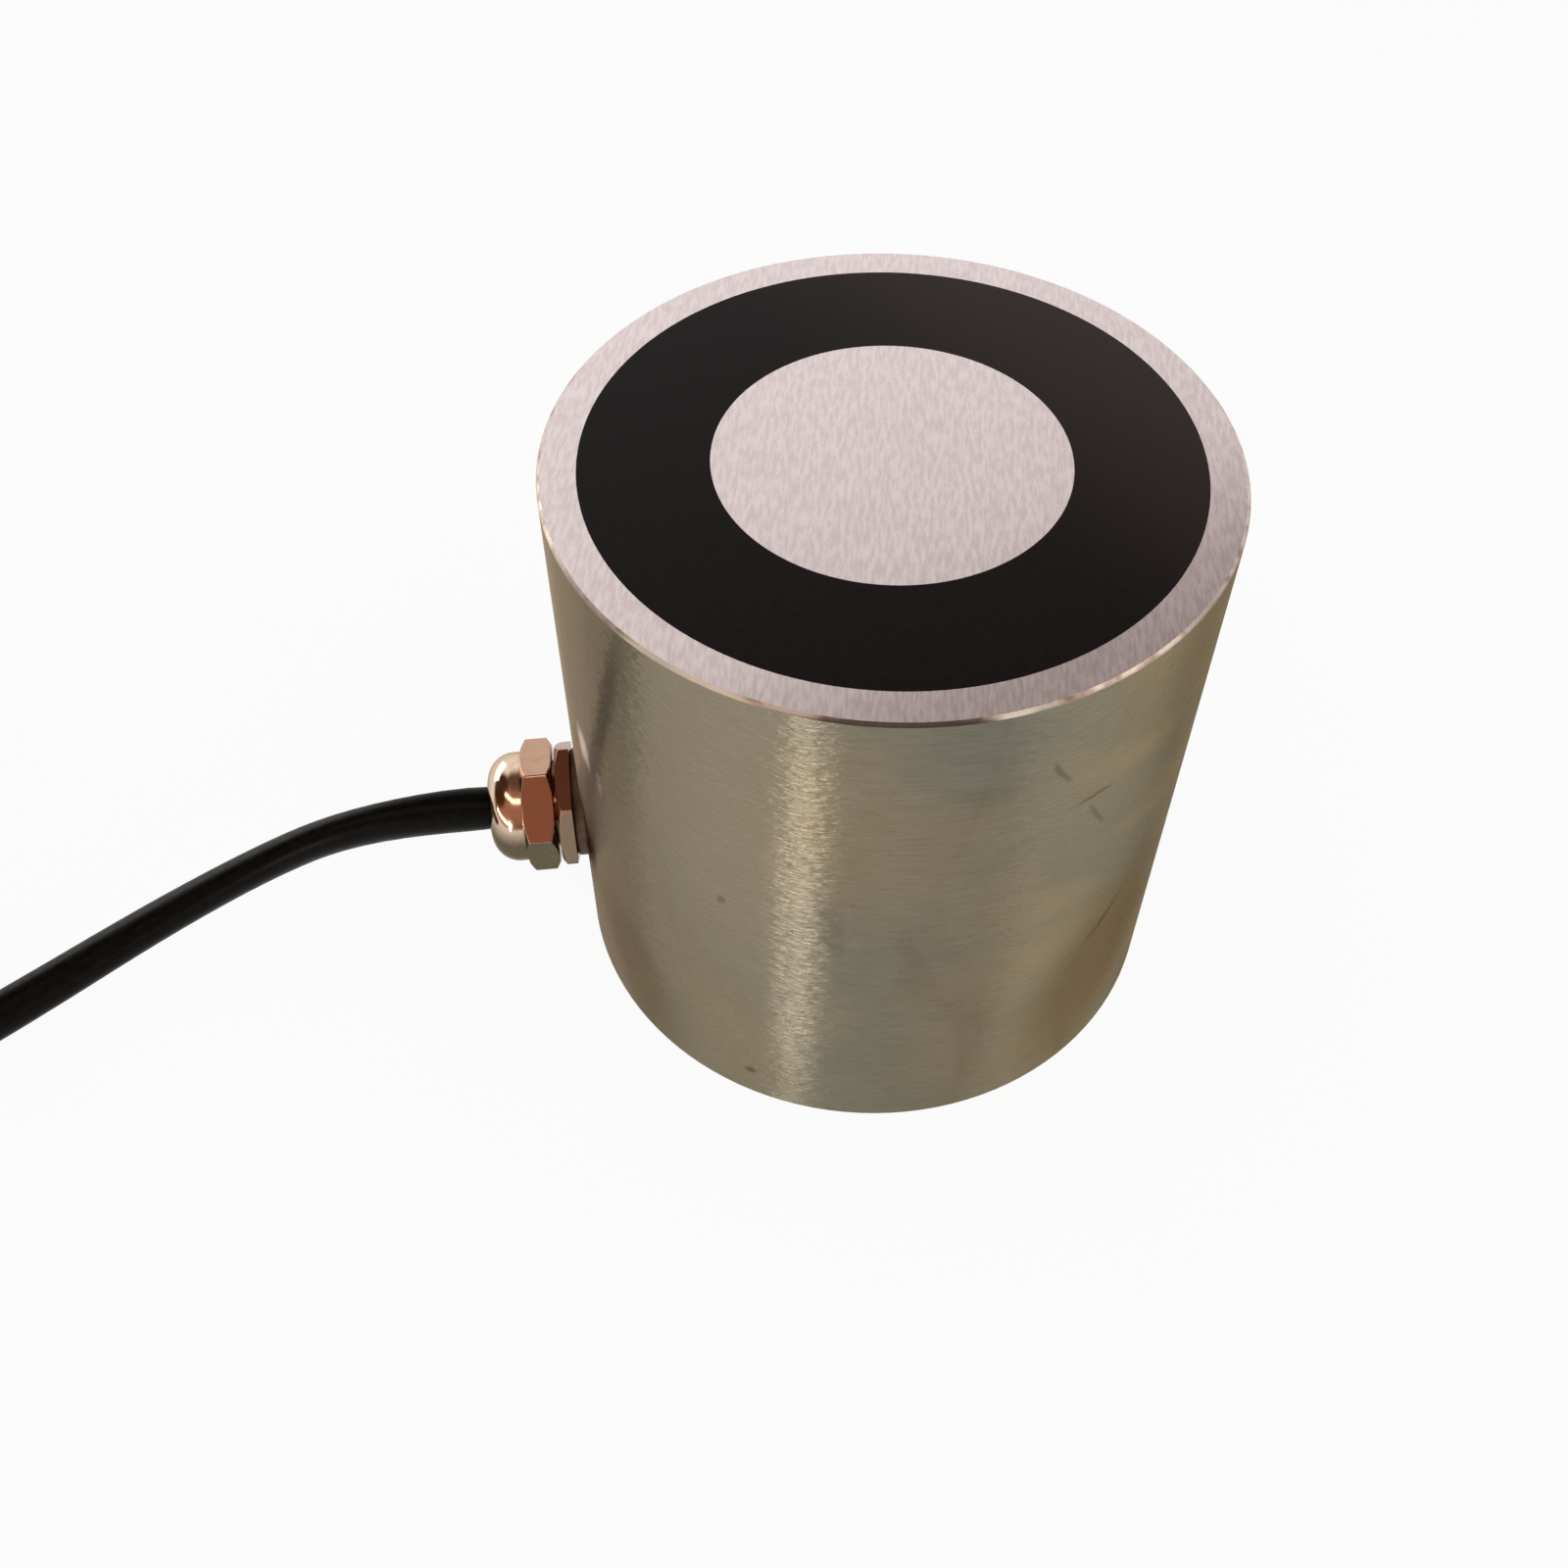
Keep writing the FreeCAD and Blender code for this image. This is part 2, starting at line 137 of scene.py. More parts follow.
# Coil of the cable: radius and level of its turns, the degrees after its entry at which they change,
# and the steps and levels of its free tail. The turns rise a little where the tie passes under them.
COIL_ENTRY = 0.027
OUTER_TURN = 0.044
INNER_TURN = 0.037
LOWER_LAYER = 0.0037
UPPER_LAYER = 0.0107
TURN_STEP = 15
GOES_IN = (300, 360)
CLIMBS = (540, 660)
GOES_OUT = (840, 900)
TURNS_END = 1109
TAIL_RUN = [(-0.013, 0.0107), (-0.026, 0.0093), (-0.038, 0.0065)]
TIE_LIFT = 0.0008
TIE_FROM_ENTRY = 12
TIE_SPAN = 25

# Cable tie, as in the part's source, and how finely it is made
COIL_INSIDE = 0.0333
COIL_OUTSIDE = 0.0477
COIL_BOTTOM = 0.0008
COIL_TOP = 0.0152
TIE_THICKNESS = 0.0008
TIE_WIDTH = 0.0025
TIE_HEAD_DEPTH = 0.0034
TIE_HEAD_WIDTH = 0.0040
TIE_HEAD_HEIGHT = 0.0048
TIE_END = 0.0030
TIE_CORNER = 0.0040
TIE_HEAD_ROUNDING = 0.0006
TIE_HEAD_STEPS = 12
TIE_STEPS = 10
CORNER_STEPS = 4

# Stripped end of the cable: each core runs by (along X, further apart, up) from the end of the sheath
CORE_RADIUS = 0.0012
CORE_SIDES = 20
CORE_STEPS = 12
CORE_OFFSET = 0.0016
CORE_RUN = [
    (0.004, 0.0000, 0.0000),
    (-0.008, 0.0002, -0.0006),
    (-0.018, 0.0022, -0.0030),
    (-0.032, 0.0040, -0.0047),
]
TIP_RADIUS = 0.00065
TIP_LENGTH = 0.007
TIP_STEPS = 40
TIP_STRANDS = 6
TIP_STRAND_SIDES = 8
TIP_VALLEY = 0.82
TIP_TWIST = math.tau / 0.009

# Light. A gloss sees a white room with three parts that are not white, each round one direction:
# dark overhead, brown in front on the left, and dark on the left.
ROOM = [
    {"towards": (0.35, -0.45, 0.90), "start": 0.20, "end": 0.55, "color": (0.126, 0.067, 0.047, 1)},
    {"towards": (-0.70, -0.50, 0.51), "start": 0.50, "end": 0.78, "color": (0.385, 0.185, 0.123, 1)},
    {"towards": (-0.76, 0.16, 0.62), "start": 0.78, "end": 0.91, "color": (0.06, 0.02, 0.008, 1)},
]
WHITE = (1, 1, 1, 1)
WORLD_LEVEL = 0.5
FLOOR_HALF = 4.0
FLOOR_COLOR = (0.9, 0.9, 0.9, 1)
FLOOR_ROUGHNESS = 0.9
FLOOR_WHITE = 0.92
LAMP_DISTANCE = 0.9
WARM_LIGHT = (1.0, 0.86, 0.72)
MILD_LIGHT = (1.0, 0.93, 0.86)


def linear(red, green, blue):
    """Colour for a shader from the 0 to 255 numbers of a screen."""
    channels = []
    for value in (red, green, blue):
        share = value / 255
        channels.append(share / 12.92 if share <= 0.04045 else ((share + 0.055) / 1.055) ** 2.4)
    return (*channels, 1.0)


@dataclass
class Layer:
    """One layer of a finish's colour, in patches made by a noise.

    The grain is the patches to the metre along X, Y and Z, after a turn about Z. The layer grows to its full
    strength where the noise goes up through the two values of rise.
    """

    grain: tuple
    detail: float
    rise: tuple
    strength: float
    color: tuple
    warp: float = 0.0
    turn: float = 0.0


# Middle part of a noise's range, from which the gloss of a finish is taken
MIDDLE = (0.3, 0.7)
WIDE_MIDDLE = (0.2, 0.8)

# Zinc on the shell's side and back: its colours, its layers and its small relief
ZINC_GREEN = linear(132, 131, 116)
ZINC_WARM = linear(146, 136, 114)
ZINC_BROWN = linear(112, 94, 70)
# Pale zinc, for the mottle and for the light painted on the left front of the side
ZINC_PALE = linear(152, 146, 128)
ZINC_WIPED = linear(160, 146, 120)
# Pinkish colour of a reflection painted on the far left of the side
ZINC_PAINTED_REFLECTION = linear(172, 156, 142)
# Pale colour of the highlight painted as a strip on the side, where a lamp's reflection runs down it
ZINC_PAINTED_HIGHLIGHT = linear(236, 218, 198)
ZINC_GRAZING = (0.50, 0.40, 0.30, 1)
# Dark colour of the smudges and specks, and of the painted reflection of the cable
DARK_SMUDGE_AND_REFLECTION = linear(84, 76, 62)
# Brown of the smear on the right and of the darker patch low on the left
BROWN_MARK_COLOR = linear(108, 91, 68)
# Bright colour of the glints of two dents, painted into the side
DENT_GLINT_COLOR = linear(240, 226, 216)
ZINC_CLOUDS = Layer((26, 26, 26), detail=4.0, rise=(0.36, 0.68), strength=1.0, color=ZINC_WARM, warp=0.4)
ZINC_MOTTLE = Layer((110, 110, 110), detail=5.0, rise=(0.35, 0.65), strength=0.22, color=ZINC_PALE, warp=0.8)
ZINC_SPECKS = Layer((700, 700, 1100), detail=2.0, rise=(0.64, 0.76), strength=0.20, color=DARK_SMUDGE_AND_REFLECTION)
ZINC_STAINS = Layer((60, 60, 22), detail=5.0, rise=(0.55, 0.80), strength=0.30, color=ZINC_BROWN, warp=0.9)
ZINC_LINES = Layer((140, 140, 2800), detail=2.0, rise=(0.45, 0.75), strength=0.07, color=ZINC_BROWN)
ZINC_ROUGHNESS = (0.29, 0.36)
ZINC_ANISOTROPIC_TURN = 0.25
DASH_GRAIN = (480, 480, 1900)
DASH_DEPTH = 0.00017
WAVE_GRAIN = (30, 30, 46)
WAVE_DEPTH = 0.0004

# Slanting streaks of the wiped half of the side, between two bearings
WIPE_GRAIN = (20, 60, 1)
WIPE_SLANT = math.radians(-58)
WIPE_RISE = (0.42, 0.66)
WIPE_STRENGTH = 0.55
WIPE_STARTS = (math.radians(-84), math.radians(-66))
WIPE_ENDS = (math.radians(20), math.radians(60))

# Brass of the gland
BRASS_TOP = linear(196, 158, 135)
BRASS_DOME = linear(231, 205, 180)
# Olive shade painted on the faces that turn down, and how far up they face where it fades out
BRASS_PAINTED_UNDER_SHADE = linear(97, 90, 73)
BRASS_PAINTED_UNDER_SHADE_ENDS = (0.05, 0.60)
BRASS_GRAZING = (0.65, 0.60, 0.55, 1)
BRASS_DULL = linear(150, 104, 80)
BRASS_BRIGHT = linear(216, 198, 188)
BRASS_PATCHES = Layer((340, 340, 340), detail=5.0, rise=(0.50, 0.75), strength=0.30, color=BRASS_DULL)
BRASS_SCRATCHES = Layer((900, 5200, 5200), detail=3.0, rise=(0.62, 0.72), strength=0.25, color=BRASS_BRIGHT)
BRASS_ROUGHNESS = (0.08, 0.18)

# Chamfer round the pole face
EDGE_BRIGHT = linear(216, 198, 188)
EDGE_STAINED = linear(150, 116, 96)
EDGE_OUTER = linear(150, 146, 136)
EDGE_OUTER_STRENGTH = 0.8
# Colours of the reflections painted along the chamfer; the pale one is also the chip's colour
EDGE_PALE = linear(250, 240, 222)
EDGE_DARK = linear(58, 46, 48)
EDGE_KNOCKS = Layer((240, 240, 240), detail=4.0, rise=(0.40, 0.70), strength=1.0, color=EDGE_STAINED)
EDGE_METALLIC = 0.5
EDGE_ROUGHNESS = (0.26, 0.42)

# Ground steel of the pole face: its grain runs one way, and shade is painted on it towards the front
GROUND_DARK = linear(232, 216, 216)
GROUND_LIGHT = linear(254, 241, 241)
GROUND_SHADE = linear(218, 203, 203)
GRIND_TURN = math.radians(11)
GROUND_GRAIN = Layer(
    (1750, 330, 1), detail=2.0, rise=(0.30, 0.70), strength=1.0, color=GROUND_LIGHT, turn=GRIND_TURN
)
GROUND_PATCHES = Layer((90, 90, 90), detail=3.0, rise=(0.35, 0.75), strength=0.10, color=GROUND_SHADE)
GROUND_PAINTED_SHADE = (0.62, 0.60, 0.59, 1)
GROUND_PAINTED_SHADE_TOWARDS = (0.45, -0.89, 0)
GROUND_PAINTED_SHADE_FROM = 0.35 * SHELL_RADIUS
GROUND_METALLIC = 0.55
GROUND_ROUGHNESS = (0.24, 0.32)

# Casting resin, with a sheen painted into its colour towards one side
RESIN_DARK = linear(13, 8, 6)
RESIN_LIGHT = linear(20, 13, 10)
RESIN_GRAIN = Layer((900, 900, 900), detail=4.0, rise=MIDDLE, strength=1.0, color=RESIN_LIGHT)
RESIN_SHEEN = linear(54, 41, 41)
RESIN_SHEEN_TOWARDS = (0.85, 0.53, 0)
RESIN_ROUGHNESS = (0.32, 0.44)

# Plain finishes: two shades, patches to the metre, lowest and highest roughness, depth of the relief where it
# isn't the usual one, and other values of the shader
USUAL_RELIEF = 0.00002
PLAIN_FINISHES = {
    "taped_copper": dict(
        dark=(160, 120, 40), light=(190, 150, 70), grain=300, rough=(0.4, 0.6), relief=0.0001
    ),
    "enamelled_copper": dict(dark=(150, 70, 30), light=(185, 95, 50), grain=800, rough=(0.25, 0.4)),
    "shrink_sleeve": dict(dark=(18, 18, 18), light=(30, 30, 30), grain=800, rough=(0.5, 0.7), relief=0.00003),
    "brown_insulation": dict(dark=(80, 45, 25), light=(98, 58, 34), grain=700, rough=(0.4, 0.55)),
    "blue_insulation": dict(dark=(30, 70, 140), light=(42, 88, 165), grain=700, rough=(0.4, 0.55)),
    "black_rubber": dict(
        dark=(84, 60, 46), light=(104, 80, 64), grain=600, rough=(0.45, 0.65),
        relief=0.00003, specular_ior_level=0.2,
    ),
    "nylon": dict(dark=(200, 196, 184), light=(222, 218, 206), grain=500, rough=(0.4, 0.55)),
    "black_sheath": dict(
        dark=(7, 6, 3), light=(12, 10, 7), grain=700, rough=(0.30, 0.42), specular_ior_level=0.08
    ),
    "tie_nylon": dict(dark=(22, 22, 22), light=(34, 34, 34), grain=700, rough=(0.4, 0.55)),
    "tinned_copper": dict(
        dark=(170, 168, 162), light=(205, 202, 196), grain=900, rough=(0.25, 0.4),
        relief=0.00003, metallic=1.0,
    ),
}

# Marks on the shell's side: dark smudges and scratches, a painted dark reflection of the cable, two dents
# shown by painted glints, a painted highlight strip, a brown smear, a darker brown patch low on the left and
# a chip in the chamfer. Each has the pixel of the photograph at its middle, its width and height on the
# steel, the degrees that its long side leans up to the right, and its strength.
SMUDGES_AND_DARK_REFLECTION = {
    "soft_smudge": {"pixel": (848, 948), "size": (0.0050, 0.0200), "lean": 8, "strength": 0.20},
    "faint_cloud": {"pixel": (1015, 812), "size": (0.0100, 0.0080), "lean": 0, "strength": 0.12},
    "upper_line": {"pixel": (1084, 789), "size": (0.0084, 0.0012), "lean": -58, "strength": 0.46},
    "middle_line": {"pixel": (1116, 812), "size": (0.0090, 0.0012), "lean": 8, "strength": 0.52},
    "lower_line": {"pixel": (1120, 830), "size": (0.0104, 0.0012), "lean": -60, "strength": 0.42},
    "low_spots": {"pixel": (766, 1091), "size": (0.0030, 0.0026), "lean": 0, "strength": 0.65},
    "left_spot": {"pixel": (736, 918), "size": (0.0018, 0.0030), "lean": 0, "strength": 0.40},
    "right_scratch": {"pixel": (1131, 928), "size": (0.0150, 0.0016), "lean": 52, "strength": 0.50},
    "next_scratch": {"pixel": (1118, 946), "size": (0.0110, 0.0014), "lean": 48, "strength": 0.42},
    # Painted reflection: a dark band where the black cable mirrors in the side
    "painted_cable_reflection": {"pixel": (618, 715), "size": (0.0046, 0.0420), "lean": -15, "strength": 0.30},
}
# Two dents by the gland, shown only by their glints, which are painted bright into the colour
DENT_GLINTS = {
    "left_dent_glint": {"pixel": (595, 762), "size": (0.0060, 0.0110), "lean": 8, "strength": 1.0},
    "next_dent_glint": {"pixel": (611, 800), "size": (0.0022, 0.0070), "lean": 0, "strength": 0.30},
}
# Painted highlight: a strip of pale ticks where a lamp's reflection runs down the side
PAINTED_HIGHLIGHT_STRIP = {"pixel": (813, 975), "size": (0.0130, 0.1100), "lean": 0, "strength": 0.24}
PAINTED_HIGHLIGHT_GRAIN = (430, 430, 2300)
PAINTED_HIGHLIGHT_RISE = (0.40, 0.66)
# A brown smear on the right, and the side darker brown low on the left
BROWN_MARKS = {
    "right_smear": {"pixel": (1112, 985), "size": (0.0360, 0.0700), "lean": -14, "strength": 0.60},
    "low_left_darker": {"pixel": (650, 985), "size": (0.0240, 0.0520), "lean": 20, "strength": 0.34},
}
EDGE_CHIP = {"pixel": (1031, 736), "size": (0.0070, 0.0040), "lean": 0, "strength": 1.0}
MARK_DEPTH = 0.02
MARK_FULL = 0.7
MARK_RAGGED = 0.0015
MARK_WANDER = 480.0

# Stretches of the side and of the chamfer with light or a reflection painted into the colour: the bearing of
# the middle in degrees, and the angles from it inside which the tone has its full strength and outside which
# there is none of it
SIDE_PAINTED_REFLECTION = {"bearing": -176, "inner": 16, "outer": 33, "strength": 0.55}
SIDE_PAINTED_LIGHT = {"bearing": -138, "inner": 10, "outer": 34, "strength": 0.7}
# Heights between which the painted light grows, and its share at the foot
SIDE_PAINTED_LIGHT_HEIGHTS = (0.2 * SHELL_HEIGHT, 0.6 * SHELL_HEIGHT)
SIDE_PAINTED_LIGHT_AT_FOOT = 0.3
EDGE_PAINTED_PALE_REFLECTION = {"bearing": -131, "inner": 9, "outer": 15, "strength": 0.8}
EDGE_PAINTED_DARK_REFLECTION = {"bearing": -97, "inner": 10, "outer": 16, "strength": 0.9}

# Which of the shell's top faces are the pole face, and which the chamfer, by how far they face up
FACES_UP = 0.9
SLOPES_UP = 0.3


def smooth_step(low, high, value):
    """0 below low, 1 above high and an even rise between them."""
    share = min(max((value - low) / (high - low), 0.0), 1.0)
    return share * share * (3 - 2 * share)


def link(item):
    """Puts a new object into the scene."""
    bpy.context.scene.collection.objects.link(item)
    return item


def mesh_piece(name, *skins):
    """New mesh object from one or more skins. Its four-sided faces are shaded round, its end caps flat."""
    points = []
    faces = []
    for skin_points, skin_faces in skins:
        first = len(points)
        points += [tuple(point) for point in skin_points]
        faces += [tuple(first + corner for corner in face) for face in skin_faces]
    mesh = bpy.data.meshes.new(name)
    mesh.from_pydata(points, [], faces)
    mesh.polygons.foreach_set("use_smooth", [len(face) == 4 for face in faces])
    mesh.update()
    return link(bpy.data.objects.new(name, mesh))


def dress(piece, finish, slot, *replaced):
    """Gives a new piece its finish, fixes it to the magnet and lets it stand for CAD nodes."""
    paint(piece, finish)
    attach(piece, "root")
    if replaced:
        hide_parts(*replaced)
    return piece


def spline_points(controls, resolution):
    """Points along a smooth NURBS line that has the given control points."""
    curve = bpy.data.curves.new("line", "CURVE")
    curve.dimensions = "3D"
    spline = curve.splines.new("NURBS")
    spline.points.add(len(controls) - 1)
    for point, place in zip(spline.points, controls):
        point.co = (*place, 1.0)
    spline.order_u = 3
    spline.use_endpoint_u = True
    spline.resolution_u = resolution
    holder = bpy.data.objects.new("line", curve)
    mesh = bpy.data.meshes.new_from_object(holder)
    points = [vertex.co.copy() for vertex in mesh.vertices]
    bpy.data.meshes.remove(mesh)
    bpy.data.curves.remove(curve)
    return points


def along(points):
    """Distance of each point from the first one, along the line."""
    distances = [0.0]
    for before, after in zip(points, points[1:]):
        distances.append(distances[-1] + (after - before).length)
    return distances


def skin(rings, loop):
    """Points and faces of a closed skin over rings of points. A loop joins its last ring to its first."""
    sides = len(rings[0])
    places = [place for ring in rings for place in ring]
    faces = []
    for ring in range(len(rings) if loop else len(rings) - 1):
        here = ring * sides
        there = (ring + 1) % len(rings) * sides
        for side in range(sides):
            follows = (side + 1) % sides
            faces.append((here + side, here + follows, there + follows, there + side))
    if not loop:
        faces.append(tuple(reversed(range(sides))))
        faces.append(tuple(range(len(places) - sides, len(places))))
    return places, faces


def swept(points, section, across=None):
    """Closed tube along a line. section(distance) gives the ring's (across, up) points there."""
    rings = []
    distances = along(points)
    for index, point in enumerate(points):
        ahead = points[min(index + 1, len(points) - 1)] - points[max(index - 1, 0)]
        ahead.normalize()
        if across is None:
            across = ahead.cross(UP).normalized()
        across = (across - ahead * across.dot(ahead)).normalized()
        upward = across.cross(ahead)
        rings.append([point + across * side + upward * rise for side, rise in section(distances[index])])
    return skin(rings, False)


def round_section(radius, sides):
    """Section of a round tube."""
    ring = []
    for side in range(sides):
        angle = math.tau * side / sides
        ring.append((radius * math.cos(angle), radius * math.sin(angle)))
    return lambda distance: ring


class Nodes:
    """Short calls that add nodes to a node tree."""

    def __init__(self, tree):
        self.tree = tree

    def put(self, socket, value):
        """Links a node's output to a socket, or writes a number there."""
        if isinstance(value, bpy.types.NodeSocket):
            self.tree.links.new(value, socket)
        else:
            socket.default_value = value

    def node(self, kind, inputs, output, **settings):
        """New node; returns the output that is named or numbered."""
        made = self.tree.nodes.new(kind)
        for key, value in settings.items():
            setattr(made, key, value)
        for key, value in inputs.items():
            self.put(made.inputs[key], value)
        return made.outputs[output]

    def span(self, value, low, high, to_low=0.0, to_high=1.0):
        """A value taken from one range to another, and kept inside it."""
        inputs = {"Value": value, "From Min": low, "From Max": high, "To Min": to_low, "To Max": to_high}
        return self.node("ShaderNodeMapRange", inputs, 0, interpolation_type="SMOOTHSTEP")

    def math(self, operation, first, second=0.0):
        return self.node("ShaderNodeMath", {0: first, 1: second}, 0, operation=operation)

    def mix(self, share, first, second, blend="MIX"):
        """Colour between two, or one laid on the other."""
        inputs = {0: share, 6: first, 7: second}
        return self.node("ShaderNodeMix", inputs, 2, data_type="RGBA", blend_type=blend)

    def reach(self, vector, towards):
        """How far a vector goes in one direction."""
        inputs = {0: vector, 1: towards}
        return self.node("ShaderNodeVectorMath", inputs, "Value", operation="DOT_PRODUCT")

    def background_share(self):
        """1 for the rays that see the background: from the camera, from a gloss or through glass."""
        path = self.tree.nodes.new("ShaderNodeLightPath").outputs
        share = self.math("MAXIMUM", path["Is Camera Ray"], path["Is Glossy Ray"])
        return self.math("MAXIMUM", share, path["Is Transmission Ray"])


class Finish(Nodes):
    """A material in the making: one Principled shader and the nodes that feed it."""

    def __init__(self, name, **constants):
        self.material = bpy.data.materials.new(name)
        self.material.use_nodes = True
        super().__init__(self.material.node_tree)
        self.shader = self.tree.nodes["Principled BSDF"]
        for socket, value in constants.items():
            self.shader.inputs[socket.replace("_", " ").title().replace("Ior", "IOR")].default_value = value
        coordinates = self.tree.nodes.new("ShaderNodeTexCoord")
        self.place = coordinates.outputs["Object"]
        self.facing = coordinates.outputs["Normal"]

    def stretched(self, scale, turn=0.0):
        """Object position, turned about Z and then stretched along the axes."""
        inputs = {"Vector": self.place, "Rotation": (0, 0, turn)}
        turned = self.node("ShaderNodeMapping", inputs, 0, vector_type="POINT") if turn else self.place
        return self.node("ShaderNodeMapping", {"Vector": turned, "Scale": scale}, 0, vector_type="POINT")

    def noise(self, vector, detail, warp=0.0):
        """Soft random pattern with values round 0.5."""
        inputs = {"Vector": vector, "Scale": 1.0, "Detail": detail, "Distortion": warp}
        return self.node("ShaderNodeTexNoise", inputs, 0)

    def laid(self, color, layer):
        """The colour with a layer laid on it, and the layer's pattern."""
        pattern = self.noise(self.stretched(layer.grain, layer.turn), layer.detail, layer.warp)
        share = self.span(pattern, *layer.rise, 0.0, layer.strength)
        return self.mix(share, color, layer.color), pattern

    def bump(self, height, strength, depth):
        """Small relief, depth metres from its low to its high places."""
        inputs = {"Height": height, "Strength": strength, "Distance": depth}
        self.put(self.shader.inputs["Normal"], self.node("ShaderNodeBump", inputs, 0))

    def color(self, value):
        self.put(self.shader.inputs["Base Color"], value)

    def roughness(self, value):
        self.put(self.shader.inputs["Roughness"], value)

    def axes(self, vector):
        """X, Y and Z of a vector."""
        made = self.tree.nodes.new("ShaderNodeSeparateXYZ")
        self.put(made.inputs[0], vector)
        return made.outputs


def paint(item, finish):
    """Gives an object one material, in place of what it had."""
    item.data.materials.clear()
    item.data.materials.append(finish.material)


def seen_on_side(pixel):
    """Point of the shell's side that shows at a pixel of the photograph."""
    right, upward, backward = camera_axes()
    focus = LENS / SENSOR * IMAGE_SIZE
    ray = right * (pixel[0] - IMAGE_SIZE / 2) + upward * (IMAGE_SIZE / 2 - pixel[1]) - backward * focus
    flat = ray.xy.length_squared
    half = ray.xy.dot(CAMERA_PLACE.xy)
    beyond = CAMERA_PLACE.xy.length_squared - SHELL_RADIUS ** 2
    return CAMERA_PLACE + ray * ((-half - math.sqrt(half * half - flat * beyond)) / flat)


# Draws the smudges and stains and also the painted highlight, glints and reflections
def mark_strength(finish, place, mark):
    """The mark's strength in the middle of a mark on the shell's side, and 0 outside it."""
    point = seen_on_side(mark["pixel"])
    middle = point + Vector((MARK_RAGGED,) * 3) / 2
    turn = (math.radians(mark["lean"]), 0, math.atan2(point.y, point.x))
    half_size = (MARK_DEPTH, mark["size"][0] / 2, mark["size"][1] / 2)
    inputs = {"Vector": place, "Location": middle, "Rotation": turn, "Scale": half_size}
    inside = finish.node("ShaderNodeMapping", inputs, 0, vector_type="TEXTURE")
    ball = finish.node("ShaderNodeTexGradient", {"Vector": inside}, 1, gradient_type="SPHERICAL")
    return finish.span(ball, 0.0, MARK_FULL, 0.0, mark["strength"])


def wiped(finish):
    """Soft slanting streaks where the side was wiped, on its right half as the photograph shows it."""
    along_x, along_y, along_z = finish.axes(finish.place)
    bearing = finish.math("ARCTAN2", along_y, along_x)
    around = finish.math("MULTIPLY", bearing, SHELL_RADIUS)
    flat = finish.node("ShaderNodeCombineXYZ", {0: around, 1: along_z}, 0)
    slant = {"Vector": flat, "Rotation": (0, 0, WIPE_SLANT), "Scale": WIPE_GRAIN}
    slanted = finish.node("ShaderNodeMapping", slant, 0, vector_type="POINT")
    streaks = finish.span(finish.noise(slanted, detail=3.0, warp=0.6), *WIPE_RISE, 0.0, WIPE_STRENGTH)
    starts = finish.span(bearing, *WIPE_STARTS)
    on_right = finish.math("MULTIPLY", starts, finish.span(bearing, *WIPE_ENDS, 1.0, 0.0))
    return finish.math("MULTIPLY", streaks, on_right)


def side_zone(finish, zone):
    """The zone's strength on one side of the shell, fading to 0 at its outer angle."""
    bearing = math.radians(zone["bearing"])
    outer = SHELL_RADIUS * math.cos(math.radians(zone["outer"]))
    inner = SHELL_RADIUS * math.cos(math.radians(zone["inner"]))
    reach = finish.reach(finish.place, (math.cos(bearing), math.sin(bearing), 0))
    return finish.span(reach, outer, inner, 0.0, zone["strength"])


